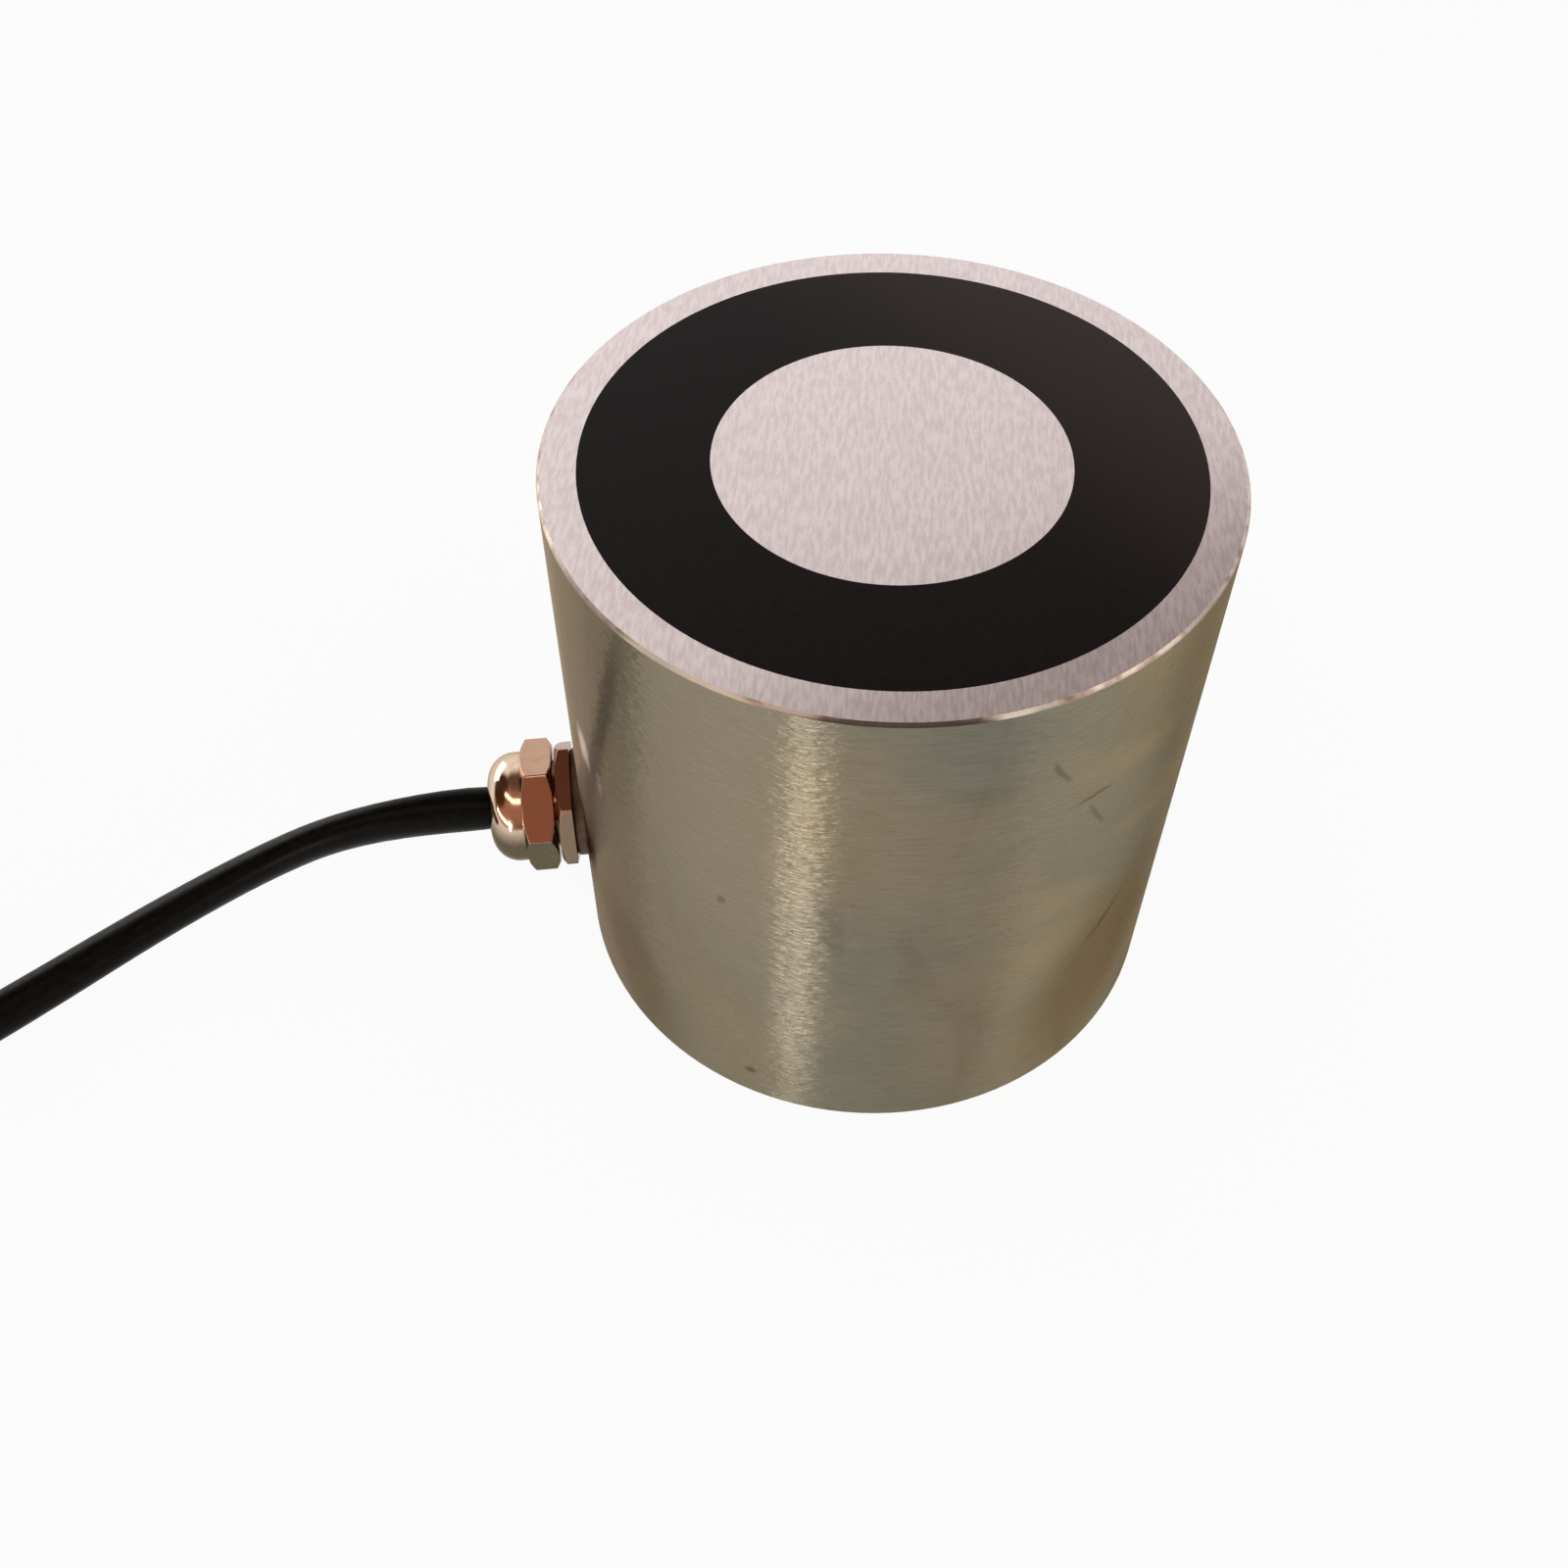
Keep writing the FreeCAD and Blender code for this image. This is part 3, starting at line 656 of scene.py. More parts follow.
def zinc_side():
    """Turned and zinc-plated side: fine lines round it, soft clouds of colour, smudges and scratches, and
    painted light, reflections, glints and a painted highlight.
    """
    finish = Finish(
        "zinc_plated_steel",
        metallic=1.0,
        anisotropic=1.0,
        anisotropic_rotation=ZINC_ANISOTROPIC_TURN,
        specular_tint=ZINC_GRAZING,
    )
    tangent = finish.node("ShaderNodeTangent", {}, 0, direction_type="RADIAL", axis="Z")
    finish.put(finish.shader.inputs["Tangent"], tangent)
    side = ZINC_GREEN
    for layer in (ZINC_CLOUDS, ZINC_MOTTLE, ZINC_SPECKS, ZINC_STAINS):
        side = finish.laid(side, layer)[0]
    side, lines = finish.laid(side, ZINC_LINES)
    side = finish.mix(wiped(finish), side, ZINC_WIPED)
    # Painted light: the left front of the side is paler, less so near the foot
    above_foot = finish.span(finish.axes(finish.place)[2], *SIDE_PAINTED_LIGHT_HEIGHTS, SIDE_PAINTED_LIGHT_AT_FOOT, 1.0)
    painted_light = finish.math("MULTIPLY", side_zone(finish, SIDE_PAINTED_LIGHT), above_foot)
    side = finish.mix(painted_light, side, ZINC_PALE)
    # Painted reflection: a pinkish streak on the far left of the side
    side = finish.mix(side_zone(finish, SIDE_PAINTED_REFLECTION), side, ZINC_PAINTED_REFLECTION)

    wander_inputs = {"Vector": finish.place, "Scale": MARK_WANDER, "Detail": 3.0}
    wander = finish.node("ShaderNodeTexNoise", wander_inputs, 1)
    shift = {0: wander, 1: (MARK_RAGGED,) * 3, 2: finish.place}
    ragged = finish.node("ShaderNodeVectorMath", shift, 0, operation="MULTIPLY_ADD")
    # Painted highlight: pale ticks inside the strip where a lamp's reflection falls
    ticks = finish.span(finish.noise(finish.stretched(PAINTED_HIGHLIGHT_GRAIN), detail=3.0), *PAINTED_HIGHLIGHT_RISE)
    painted_highlight = finish.math("MULTIPLY", mark_strength(finish, ragged, PAINTED_HIGHLIGHT_STRIP), ticks)
    side = finish.mix(painted_highlight, side, ZINC_PAINTED_HIGHLIGHT)
    # Brown marks, dark smudges with the painted cable reflection, and the painted glints of two dents
    for marks, color in ((BROWN_MARKS, BROWN_MARK_COLOR), (SMUDGES_AND_DARK_REFLECTION, DARK_SMUDGE_AND_REFLECTION), (DENT_GLINTS, DENT_GLINT_COLOR)):
        for mark in marks.values():
            side = finish.mix(mark_strength(finish, ragged, mark), side, color)
    finish.color(side)

    finish.roughness(finish.span(lines, *WIDE_MIDDLE, *ZINC_ROUGHNESS))
    dashes = finish.math("MULTIPLY", finish.noise(finish.stretched(DASH_GRAIN), detail=2.0), DASH_DEPTH)
    waves = finish.math("MULTIPLY", finish.noise(finish.stretched(WAVE_GRAIN), detail=2.0), WAVE_DEPTH)
    finish.bump(finish.math("ADD", dashes, waves), strength=1.0, depth=1.0)
    return finish


def rim_edge():
    """Small chamfer round the pole face, bright, and stained, knocked and chipped in places, with pale and
    dark reflections painted along it.
    """
    finish = Finish("rim_edge", metallic=EDGE_METALLIC)
    color, knocks = finish.laid(EDGE_BRIGHT, EDGE_KNOCKS)
    foot = SHELL_HEIGHT - RIM_CHAMFER
    middle = SHELL_HEIGHT - RIM_CHAMFER / 2
    outer = finish.span(finish.axes(finish.place)[2], foot, middle, EDGE_OUTER_STRENGTH, 0.0)
    color = finish.mix(outer, color, EDGE_OUTER)
    # Painted reflections: pale on the left front, dark in front
    color = finish.mix(side_zone(finish, EDGE_PAINTED_PALE_REFLECTION), color, EDGE_PALE)
    color = finish.mix(side_zone(finish, EDGE_PAINTED_DARK_REFLECTION), color, EDGE_DARK)
    finish.color(finish.mix(mark_strength(finish, finish.place, EDGE_CHIP), color, EDGE_PALE))
    finish.roughness(finish.span(knocks, *MIDDLE, *EDGE_ROUGHNESS))
    finish.bump(knocks, strength=0.3, depth=0.00008)
    return finish


def paint_shell(shell, ground):
    """Zinc on the shell's side and back, ground steel on its pole face and the chamfer between them."""
    shell.data.materials.clear()
    for finish in (zinc_side(), ground, rim_edge()):
        shell.data.materials.append(finish.material)
    kinds = []
    for face in shell.data.polygons:
        by_rim = face.center.z > SHELL_HEIGHT - 2 * RIM_CHAMFER
        if by_rim and face.normal.z > FACES_UP:
            kinds.append(1)
        elif by_rim and face.normal.z > SLOPES_UP:
            kinds.append(2)
        else:
            kinds.append(0)
    shell.data.polygons.foreach_set("material_index", kinds)


def plated_brass():
    """Bright plated brass, pink above, with an olive shade painted on the faces that turn down, fine
    scratches and dull places.
    """
    finish = Finish("plated_brass", metallic=1.0, specular_tint=BRASS_GRAZING)
    outward = finish.math("MULTIPLY", finish.axes(finish.place)[0], -1.0)
    on_dome = finish.span(outward, NUT_HEX_END, NUT_HEX_END + DOME_ROUNDING / 10)
    color = finish.mix(on_dome, BRASS_TOP, BRASS_DOME)
    upward = finish.axes(finish.facing)[2]
    # Painted shade: olive on the faces that turn down
    color = finish.mix(finish.span(upward, *BRASS_PAINTED_UNDER_SHADE_ENDS), BRASS_PAINTED_UNDER_SHADE, color)
    color, patches = finish.laid(color, BRASS_PATCHES)
    color, scratches = finish.laid(color, BRASS_SCRATCHES)
    finish.color(color)
    finish.roughness(finish.span(patches, *MIDDLE, *BRASS_ROUGHNESS))
    finish.bump(scratches, strength=0.10, depth=0.00002)
    return finish


def ground_steel():
    """Steel ground flat, its fine scratches all running one way, with shade painted on towards the front: the
    pole face of the core and the shell.
    """
    finish = Finish("ground_steel", metallic=GROUND_METALLIC)
    color, grain = finish.laid(GROUND_DARK, GROUND_GRAIN)
    color = finish.laid(color, GROUND_PATCHES)[0]
    # Painted shade that darkens the face towards the front
    reach = finish.reach(finish.place, GROUND_PAINTED_SHADE_TOWARDS)
    painted_shade = finish.span(reach, GROUND_PAINTED_SHADE_FROM, SHELL_RADIUS)
    finish.color(finish.mix(painted_shade, color, GROUND_PAINTED_SHADE, "MULTIPLY"))
    finish.roughness(finish.span(grain, *WIDE_MIDDLE, *GROUND_ROUGHNESS))
    finish.bump(grain, strength=0.15, depth=0.00004)
    return finish


def cast_resin():
    """Black casting resin with a soft sheen painted into its colour towards the right-hand back."""
    finish = Finish("black_resin", specular_ior_level=0.10)
    color, grain = finish.laid(RESIN_DARK, RESIN_GRAIN)
    sheen = finish.span(finish.reach(finish.place, RESIN_SHEEN_TOWARDS), 0.0, SHELL_RADIUS)
    finish.color(finish.mix(sheen, color, RESIN_SHEEN))
    finish.roughness(finish.span(grain, *MIDDLE, *RESIN_ROUGHNESS))
    finish.bump(grain, strength=0.3, depth=0.00002)
    return finish


def speckled(name, dark, light, grain, rough, relief=USUAL_RELIEF, **constants):
    """Plain finish with a soft change between two shades, uneven gloss and a little relief."""
    finish = Finish(name, **constants)
    speckles = Layer((grain, grain, grain), detail=4.0, rise=MIDDLE, strength=1.0, color=linear(*light))
    color, pattern = finish.laid(linear(*dark), speckles)
    finish.color(color)
    finish.roughness(finish.span(pattern, *MIDDLE, *rough))
    finish.bump(pattern, strength=0.3, depth=relief)
    return finish


def camera_axes():
    """The camera's right, up and backward directions."""
    forward = CAMERA_FORWARD.normalized()
    right = forward.cross(UP).normalized()
    upward = right.cross(forward)
    roll = Matrix.Rotation(CAMERA_ROLL, 3, -forward)
    return roll @ right, roll @ upward, -forward


def make_camera():
    """The photograph's camera."""
    data = bpy.data.cameras.new("camera")
    data.lens = LENS
    data.sensor_width = SENSOR
    camera = link(bpy.data.objects.new("camera", data))
    turn = Matrix(camera_axes()).transposed().to_4x4()
    camera.matrix_world = Matrix.Translation(CAMERA_PLACE) @ turn
    bpy.context.scene.camera = camera


class Coil:
    """Where the cable's coil lies: it is entered along the last run and wound clockwise seen from above."""

    cable_end = Vector(CABLE_ROUTE[-1])
    heading = (cable_end - Vector(CABLE_ROUTE[-2])) * Vector((1, 1, 0))
    heading.normalize()
    entry = cable_end + heading * COIL_ENTRY
    centre = Vector((entry.x + heading.y * OUTER_TURN, entry.y - heading.x * OUTER_TURN, 0))
    entry_angle = math.degrees(math.atan2(entry.y - centre.y, entry.x - centre.x))


def cable_controls():
    """Control points of the whole cable: its route, the turns of its coil and its free tail."""
    controls = [Vector(point) for point in CABLE_ROUTE]
    # The line runs inside its control points by this share, so they stand that much further out
    outside_curve = 1 / (0.75 + 0.25 * math.cos(math.radians(TURN_STEP)))
    for turned in [*range(0, TURNS_END, TURN_STEP), TURNS_END]:
        inward = smooth_step(*GOES_IN, turned) - smooth_step(*GOES_OUT, turned)
        climb = smooth_step(*CLIMBS, turned)
        from_tie = (turned - TIE_FROM_ENTRY + 180) % 360 - 180
        lift = TIE_LIFT * math.exp(-(from_tie / TIE_SPAN) ** 2)
        radius = (OUTER_TURN + (INNER_TURN - OUTER_TURN) * inward) * outside_curve
        angle = math.radians(Coil.entry_angle - turned)
        level = LOWER_LAYER + (UPPER_LAYER - LOWER_LAYER) * climb + lift
        controls.append(Coil.centre + Vector((radius * math.cos(angle), radius * math.sin(angle), level)))
    last = controls[-1].copy()
    for step, level in TAIL_RUN:
        controls.append(Vector((last.x + step, last.y, level)))
    return controls


def cable_section(distance):
    """The sheath is a little oval in its free stretch, and round in the gland and the coil."""
    oval = smooth_step(*OVAL_STARTS, distance) - smooth_step(*OVAL_ENDS, distance)
    wide = CABLE_RADIUS + (OVAL_LONG - CABLE_RADIUS) * oval
    narrow = CABLE_RADIUS + (OVAL_SHORT - CABLE_RADIUS) * oval
    turn = OVAL_TURN_BEFORE if distance < OVAL_FLAT_AT else OVAL_TURN_AFTER
    lean = OVAL_FLAT_LEAN + (distance - OVAL_FLAT_AT) * turn
    ring = []
    for side in range(CABLE_SIDES):
        angle = math.tau * side / CABLE_SIDES
        long_way = wide * math.cos(angle - lean)
        short_way = narrow * math.sin(angle - lean)
        ring.append((
            long_way * math.cos(lean) - short_way * math.sin(lean),
            long_way * math.sin(lean) + short_way * math.cos(lean),
        ))
    return ring


def tip_section(distance):
    """Strands twisted together and tinned: a round with one bulge for each strand."""
    sides = TIP_STRAND_SIDES * TIP_STRANDS
    ring = []
    for side in range(sides):
        angle = math.tau * side / sides
        bulge = abs(math.cos(TIP_STRANDS / 2 * (angle - distance * TIP_TWIST)))
        radius = TIP_RADIUS * (TIP_VALLEY + (1 - TIP_VALLEY) * bulge)
        ring.append((radius * math.cos(angle), radius * math.sin(angle)))
    return ring


def make_cable(finishes):
    """The cable with its coil, its two stripped cores and their tinned tips."""
    line = spline_points(cable_controls(), CABLE_STEPS)
    cable = mesh_piece("power_cable", swept(line, cable_section))
    dress(cable, finishes["black_sheath"], "black_sheath", "cable", "cable_coil")
    end = line[-1]
    pieces = [make_tie(finishes)]
    tips = []
    for name, side, slot in (("brown", -1, "brown_insulation"), ("blue", 1, "blue_insulation")):
        controls = []
        for forward, apart, upward in CORE_RUN:
            controls.append(end + Vector((forward, side * (CORE_OFFSET + apart), upward)))
        core_line = spline_points(controls, CORE_STEPS)
        core = mesh_piece("core_" + name, swept(core_line, round_section(CORE_RADIUS, CORE_SIDES)))
        pieces.append(dress(core, finishes[slot], slot, "tail_core_" + name))
        ahead = (core_line[-1] - core_line[-2]).normalized()
        tip_line = []
        for step in range(TIP_STEPS + 1):
            tip_line.append(core_line[-1] + ahead * (TIP_LENGTH * step / TIP_STEPS))
        tips.append(swept(tip_line, tip_section))
    tinned_tips = mesh_piece("core_tips", *tips)
    pieces.append(dress(tinned_tips, finishes["tinned_copper"], "tinned_copper", "tail_tips"))


def rounded_rectangle(width, depth, rounding):
    """Points round a rectangle with round corners, its middle at the origin."""
    ring = []
    for corner in range(4):
        towards = math.radians(90 * corner + 45)
        side = math.copysign(width / 2 - rounding, math.cos(towards))
        rise = math.copysign(depth / 2 - rounding, math.sin(towards))
        for step in range(CORNER_STEPS + 1):
            angle = math.radians(90 * corner + 90 * step / CORNER_STEPS)
            ring.append((side + rounding * math.cos(angle), rise + rounding * math.sin(angle)))
    return ring


def make_tie(finishes):
    """Cable tie: a flat strap round the turns that comes back through its head, and its cut end."""
    angle = math.radians(Coil.entry_angle - TIE_FROM_ENTRY)
    outward = Vector((math.cos(angle), math.sin(angle), 0))
    sideways = Vector((-math.sin(angle), math.cos(angle), 0))
    inner = COIL_INSIDE - TIE_THICKNESS / 2
    outer = COIL_OUTSIDE + TIE_THICKNESS / 2
    low = COIL_BOTTOM - TIE_THICKNESS / 2
    high = COIL_TOP + TIE_THICKNESS / 2
    head_middle = (COIL_BOTTOM + COIL_TOP) / 2
    head_top = head_middle + TIE_HEAD_HEIGHT / 2
    head_bottom = head_middle - TIE_HEAD_HEIGHT / 2
    slot = outer + 1.5 * TIE_THICKNESS
    route = [
        (outer, head_middle),
        (outer, high - TIE_CORNER),
        (outer, high),
        (outer - TIE_CORNER, high),
        (inner + TIE_CORNER, high),
        (inner, high),
        (inner, high - TIE_CORNER),
        (inner, low + TIE_CORNER),
        (inner, low),
        (inner + TIE_CORNER, low),
        (outer - TIE_CORNER, low),
        (outer, low),
        (outer, head_bottom - TIE_CORNER / 2),
        (slot, head_bottom),
        (slot, head_top),
        (slot, head_top + TIE_END),
    ]
    places = [Coil.centre + outward * away + UP * level for away, level in route]
    flat = rounded_rectangle(TIE_WIDTH, TIE_THICKNESS, TIE_THICKNESS / 3)
    strap = swept(spline_points(places, TIE_STEPS), lambda distance: flat, sideways)
    head_at = Coil.centre + outward * (COIL_OUTSIDE + TIE_THICKNESS + TIE_HEAD_DEPTH / 2)
    rounding = TIE_HEAD_ROUNDING
    straight = TIE_HEAD_HEIGHT / 2 - rounding
    rings = []
    for step in range(TIE_HEAD_STEPS + 1):
        angle = math.radians(180 * step / TIE_HEAD_STEPS)
        half = -1 if step < TIE_HEAD_STEPS / 2 else 1
        level = head_middle + straight * half - rounding * math.cos(angle)
        inset = rounding * (1 - math.sin(angle))
        width = TIE_HEAD_WIDTH - 2 * inset
        depth = TIE_HEAD_DEPTH - 2 * inset
        outline = rounded_rectangle(width, depth, rounding)
        rings.append([head_at + sideways * side - outward * rise + UP * level for side, rise in outline])
    tie = mesh_piece("cable_tie", strap, skin(rings, False))
    return dress(tie, finishes["tie_nylon"], "tie_nylon", "coil_tie")


def make_mount_thread(finishes):
    """Thread in the mounting hole of the back, as one ridge wound up the wall."""
    turns = (MOUNT_DEPTH - 2 * MOUNT_PITCH) / MOUNT_PITCH
    line = []
    for step in range(int(turns * MOUNT_STEPS)):
        angle = math.tau * step / MOUNT_STEPS
        level = MOUNT_PITCH * (1 + step / MOUNT_STEPS)
        line.append(Vector((MOUNT_RADIUS * math.cos(angle), MOUNT_RADIUS * math.sin(angle), level)))
    root = MOUNT_THREAD_ROOT * MOUNT_PITCH
    crest = MOUNT_THREAD_CREST * MOUNT_PITCH
    ridge = [
        (MOUNT_THREAD_SINK, -root),
        (MOUNT_THREAD_SINK, root),
        (-MOUNT_THREAD_DEPTH, crest),
        (-MOUNT_THREAD_DEPTH, -crest),
    ]
    thread = mesh_piece("mount_thread", swept(line, lambda distance: ridge))
    thread.data.polygons.foreach_set("use_smooth", [False] * len(thread.data.polygons))
    dress(thread, finishes["core_steel"], "core_steel")


def soft_min(first, second):
    """The smaller of two lengths, with a small rounding where one takes over from the other."""
    return first * (1 + (first / second) ** EDGE_SHARPNESS) ** (-1 / EDGE_SHARPNESS)


def hexagon_radii(flat_angle):
    """Radius of a hexagon with slightly rounded corners, at each step round the gland."""
    radii = []
    for side in range(GLAND_SIDES):
        angle = math.tau * side / GLAND_SIDES - flat_angle
        total = 0.0
        for flat in range(6):
            total += max(math.cos(angle - math.tau * flat / 6), 0.0) ** CORNER_SHARPNESS
        radii.append(ACROSS_FLATS / 2 / total ** (1 / CORNER_SHARPNESS))
    return radii


def hexagon_stations(start, end):
    """Where the rows of a hexagon stand: close together near its ends and wider between."""
    zone = min(CHAMFER_ZONE, (end - start) / 2)
    fine = [FINE_ROW * step for step in range(int(zone / FINE_ROW))]
    between = end - start - 2 * zone
    steps = int(between / COARSE_ROW)
    coarse = [start + zone + between * (step + 0.5) / (steps + 1) for step in range(steps + 1)]
    return [start + step for step in fine] + coarse + [end - step for step in reversed(fine)]


def hexagon_rows(start, end, flat_angle, chamfer_start):
    """Rows of a hexagon with its corners turned off at the end, or at both ends."""
    slope = 1 / math.tan(HEX_CHAMFER_ANGLE)
    flats = hexagon_radii(flat_angle)
    start_radius = HEX_END_RADIUS if chamfer_start else max(flats)
    rows = []
    for u in hexagon_stations(start, end):
        limit = min(HEX_END_RADIUS + (end - u) * slope, start_radius + (u - start) * slope)
        rows.append((u, [soft_min(radius, limit) for radius in flats]))
    return rows


def turned_rows(corners):
    """Rows of a turned profile of (u, radius), its corners eased a little and its ends left out."""
    rows = []
    for before, corner, after in zip(corners, corners[1:], corners[2:]):
        corner = Vector(corner)
        for side, steps in ((Vector(before), (2, 1)), (Vector(after), (1, 2))):
            way = (side - corner).normalized()
            for step in steps:
                u, radius = corner + way * (EDGE_EASE * step)
                rows.append((u, [radius] * GLAND_SIDES))
    return rows


def collar_rows():
    """Rows of the body's threaded collar."""
    rows = []
    step = COLLAR_PITCH / COLLAR_TURN_ROWS
    for row in range(COLLAR_END_ROWS, int((BODY_END - BODY_HEX_END) / step) - COLLAR_END_ROWS):
        u = BODY_HEX_END + row * step
        radii = []
        for side in range(GLAND_SIDES):
            phase = (u / COLLAR_PITCH + side / GLAND_SIDES) % 1
            radii.append(COLLAR_RADIUS - COLLAR_THREAD_DEPTH * abs(2 * phase - 1))
        rows.append((u, radii))
    return rows


def gland_piece(name, rows):
    """Closed mesh round the gland's axis, from rows of radii."""
    rings = []
    for u, radii in rows:
        ring = []
        for side, radius in enumerate(radii):
            angle = math.tau * side / len(radii)
            ring.append((-u, -radius * math.cos(angle), GLAND_HEIGHT + radius * math.sin(angle)))
        rings.append(ring)
    return mesh_piece(name, skin(rings, True))


def make_gland(finishes):
    """Dome nut, hexagon body with its collar, and sealing ring."""
    dome_level = NUT_END - DOME_ROUNDING
    nose_radius = DOME_RADIUS - DOME_ROUNDING
    hexagon_face = HEX_END_RADIUS - 2 * EDGE_EASE
    nut = hexagon_rows(NUT_START, NUT_HEX_END, NUT_FLAT_ANGLE, True)
    nut += turned_rows([
        (NUT_HEX_END, hexagon_face),
        (NUT_HEX_END, DOME_RADIUS),
        (dome_level, DOME_RADIUS),
    ])
    for row in range(DOME_ROWS + 1):
        angle = math.radians(90 * row / DOME_ROWS)
        radius = nose_radius + DOME_ROUNDING * math.cos(angle)
        nut.append((dome_level + DOME_ROUNDING * math.sin(angle), [radius] * GLAND_SIDES))
    nut += turned_rows([
        (NUT_END, nose_radius),
        (NUT_END, NUT_MOUTH_RADIUS),
        (NUT_CONE_END, NUT_MOUTH_RADIUS),
        (NUT_CONE_END, NUT_CONE_TIP_RADIUS),
        (NUT_CONE_START, NUT_CLAW_BORE_RADIUS),
        (NUT_THREAD_END, NUT_CLAW_BORE_RADIUS),
        (NUT_THREAD_END, COLLAR_RADIUS),
        (NUT_START, COLLAR_RADIUS),
        (NUT_START, hexagon_face),
    ])
    dress(gland_piece("gland_dome_nut", nut), finishes["plated_brass"], "plated_brass", "gland_nut")

    body = hexagon_rows(BODY_HEX_START, BODY_HEX_END, BODY_FLAT_ANGLE, False)
    body += turned_rows([
        (BODY_HEX_END, hexagon_face),
        (BODY_HEX_END, COLLAR_RADIUS),
        (BODY_END, COLLAR_RADIUS),
    ])
    body += collar_rows()
    body += turned_rows([
        (BODY_HEX_END, COLLAR_RADIUS),
        (BODY_END, COLLAR_RADIUS),
        (BODY_END, CLAW_RADIUS),
        (CLAW_SEAT, CLAW_RADIUS),
        (CLAW_SEAT, BODY_BORE_RADIUS),
        (GLAND_INNER_END, BODY_BORE_RADIUS),
        (GLAND_INNER_END, GLAND_THREAD_RADIUS),
        (BODY_HEX_START, GLAND_THREAD_RADIUS),
        (BODY_HEX_START, hexagon_face),
    ])
    dress(gland_piece("gland_hexagon_body", body), finishes["plated_brass"], "plated_brass", "gland_body")

    rising = range(0, 91, SEAL_STEP)
    seal = []
    for end_at, way, angles in ((SEAL_START, 1, rising), (BODY_HEX_START, -1, reversed(rising))):
        for degrees in angles:
            angle = math.radians(degrees)
            u = end_at + way * SEAL_ROUNDING * (1 - math.cos(angle))
            seal.append((u, [SEAL_RADIUS - SEAL_ROUNDING * (1 - math.sin(angle))] * GLAND_SIDES))
    seal += turned_rows([
        (BODY_HEX_START, SEAL_RADIUS),
        (BODY_HEX_START, GLAND_THREAD_RADIUS),
        (SEAL_START, GLAND_THREAD_RADIUS),
        (SEAL_START, SEAL_RADIUS),
    ])
    dress(gland_piece("gland_sealing_ring", seal), finishes["black_rubber"], "black_rubber", "gland_seal")


def make_world():
    """White for the camera, and a plain level of light. A gloss sees the room's darker parts as well."""
    world = bpy.data.worlds.new("studio")
    world.use_nodes = True
    bpy.context.scene.world = world
    room = Nodes(world.node_tree)
    direction = room.node("ShaderNodeTexCoord", {}, "Generated")
    color = WHITE
    for zone in ROOM:
        reach = room.reach(direction, zone["towards"])
        color = room.mix(room.span(reach, zone["start"], zone["end"]), color, zone["color"])
    to_camera = room.node("ShaderNodeLightPath", {}, "Is Camera Ray")
    color = room.mix(to_camera, color, WHITE)
    seen = room.node("ShaderNodeBackground", {"Color": color, "Strength": 1.0}, 0)
    plain = world.node_tree.nodes["Background"]
    room.put(plain.inputs["Color"], WHITE)
    room.put(plain.inputs["Strength"], WORLD_LEVEL)
    choice = {0: room.background_share(), 1: plain.outputs[0], 2: seen}
    chosen = room.node("ShaderNodeMixShader", choice, 0)
    room.put(world.node_tree.nodes["World Output"].inputs["Surface"], chosen)


def make_floor():
    """Pale floor that looks almost white from everywhere, and still takes the magnet's shadow."""
    half = FLOOR_HALF
    corners = [(-half, -half, 0), (half, -half, 0), (half, half, 0), (-half, half, 0)]
    floor = mesh_piece("floor", (corners, [(0, 1, 2, 3)]))
    finish = Finish("pale_floor", base_color=FLOOR_COLOR, roughness=FLOOR_ROUGHNESS)
    white = finish.node("ShaderNodeEmission", {"Strength": 1.0}, 0)
    share = finish.math("MULTIPLY", finish.background_share(), FLOOR_WHITE)
    choice = {0: share, 1: finish.shader.outputs[0], 2: white}
    chosen = finish.node("ShaderNodeMixShader", choice, 0)
    finish.put(finish.tree.nodes["Material Output"].inputs["Surface"], chosen)
    paint(floor, finish)


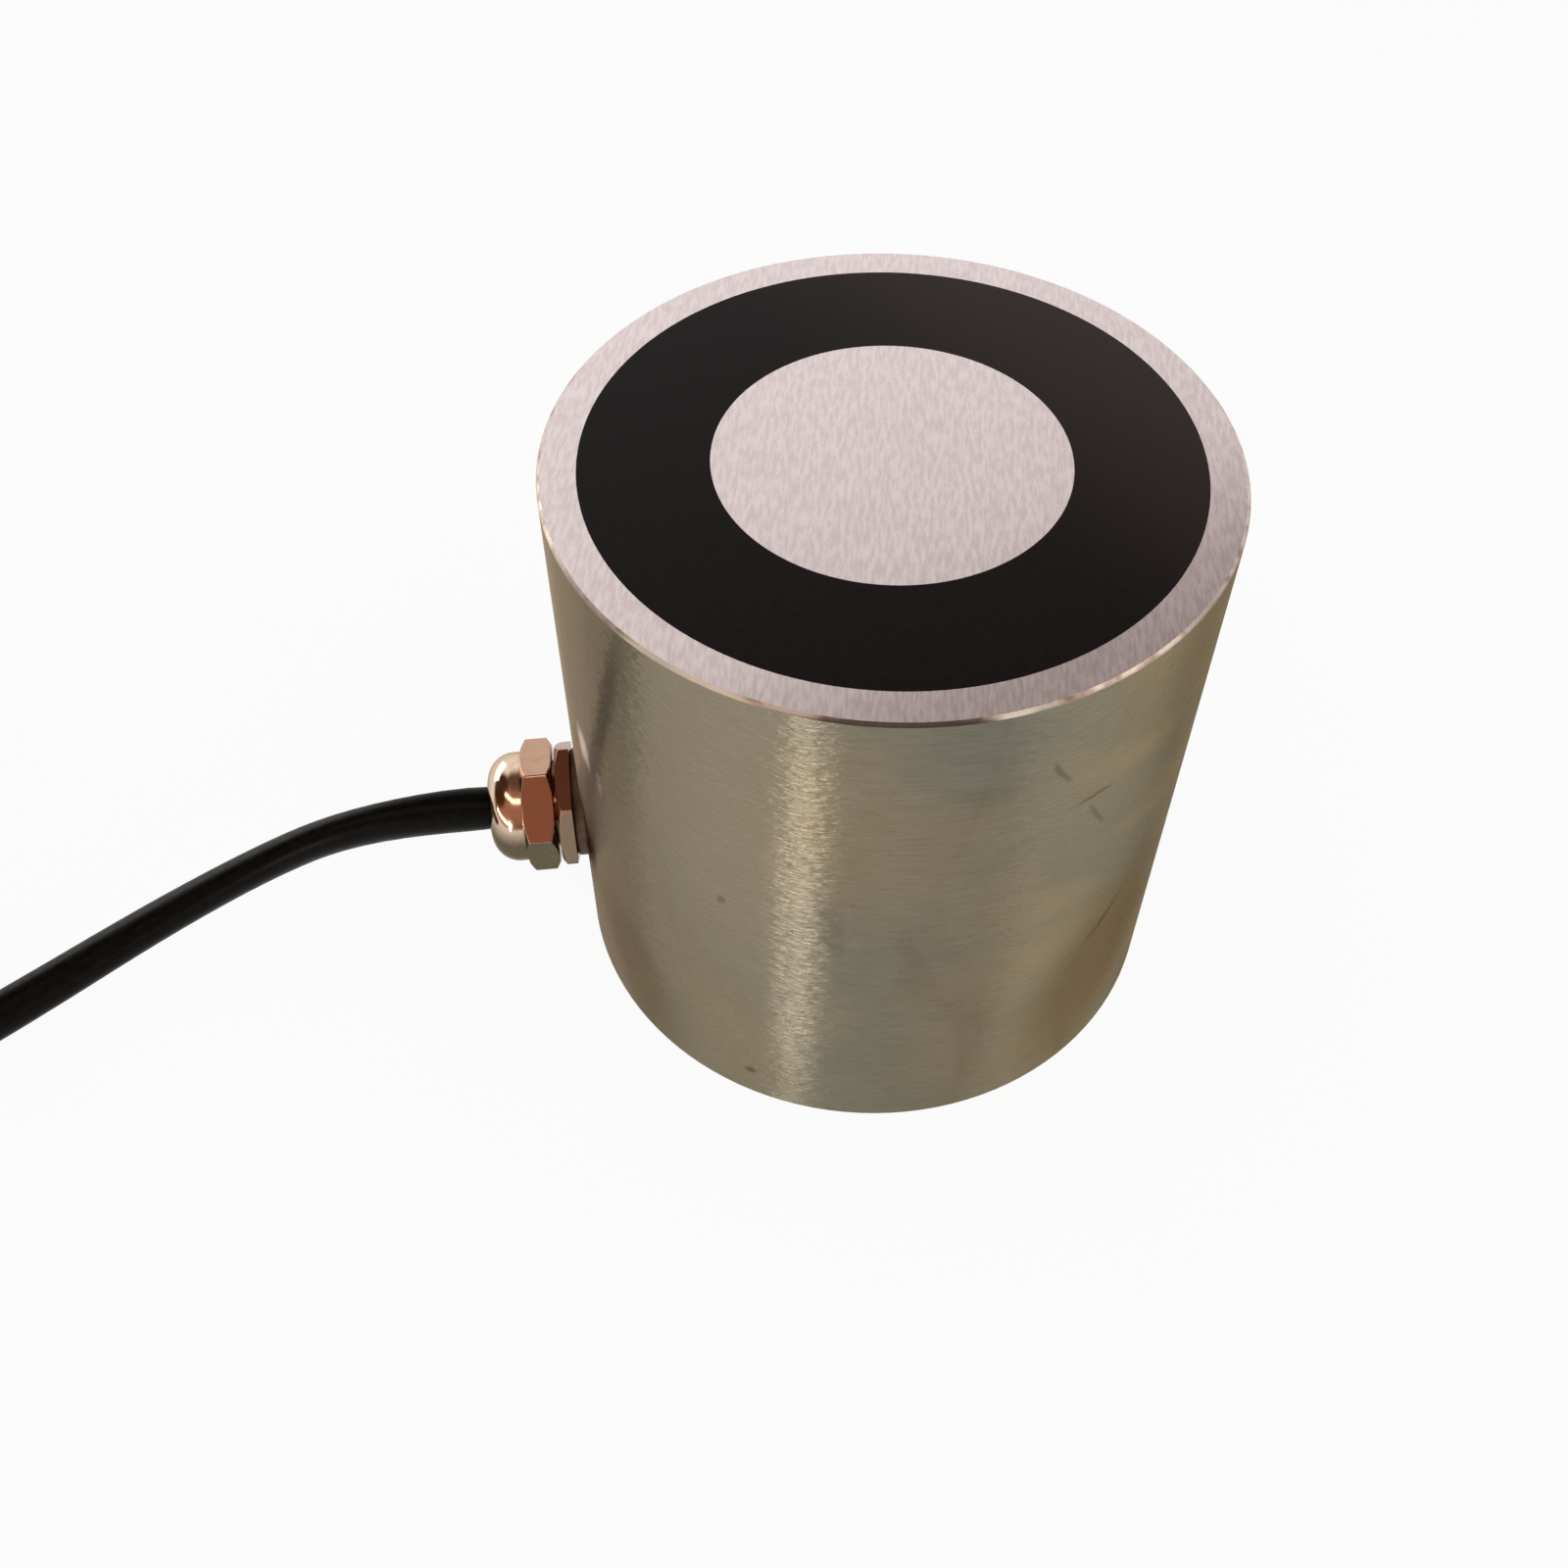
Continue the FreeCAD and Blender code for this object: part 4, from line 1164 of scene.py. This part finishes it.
def make_lamp(name, bearing, elevation, width, height, watts, color, distance=LAMP_DISTANCE):
    """Soft lamp round the magnet. The bearing is in degrees, anticlockwise from +X seen from above."""
    data = bpy.data.lights.new(name, "AREA")
    data.shape = "RECTANGLE"
    data.size = width
    data.size_y = height
    data.energy = watts
    data.color = color
    lamp = link(bpy.data.objects.new(name, data))
    around = math.radians(bearing)
    above = math.radians(elevation)
    level = math.cos(above)
    outward = Vector((math.cos(around) * level, math.sin(around) * level, math.sin(above)))
    lamp.location = MAGNET_MIDDLE + outward * distance
    lamp.rotation_mode = "QUATERNION"
    lamp.rotation_quaternion = (-outward).to_track_quat("-Z", "Y")


make_camera()
bpy.context.scene.view_settings.view_transform = "Standard"
make_world()
make_floor()
make_lamp("key", bearing=241, elevation=4, width=0.045, height=0.22, watts=1.05, color=MILD_LIGHT)
make_lamp("low_strip", bearing=218, elevation=9, width=1.05, height=0.08, watts=1.3, color=WARM_LIGHT)
make_lamp("high_strip", bearing=234, elevation=60, width=0.90, height=0.14, watts=1.0, color=WARM_LIGHT)
make_lamp("right_fill", bearing=326, elevation=20, width=0.70, height=0.45, watts=2.1, color=MILD_LIGHT)
make_lamp(
    "back_left", bearing=132, elevation=14, width=0.60, height=0.40, watts=2.0, color=MILD_LIGHT, distance=1.0
)

finishes = {slot: speckled(slot, **values) for slot, values in PLAIN_FINISHES.items()}
finishes["core_steel"] = ground_steel()
finishes["black_resin"] = cast_resin()
finishes["plated_brass"] = plated_brass()
SLOT_OF = {
    "pole_core": "core_steel",
    "winding": "taped_copper",
    "resin_seal": "black_resin",
    "start_lead": "enamelled_copper",
    "finish_lead": "enamelled_copper",
    "splice_sleeves": "shrink_sleeve",
    "inner_core_brown": "brown_insulation",
    "inner_core_blue": "blue_insulation",
    "gland_claw": "nylon",
    "gland_bush": "black_rubber",
    "cable_in_gland": "black_sheath",
}
for node, slot in SLOT_OF.items():
    paint(nodes[node], finishes[slot])
paint_shell(nodes["shell"], finishes["core_steel"])
make_cable(finishes)
make_gland(finishes)
make_mount_thread(finishes)
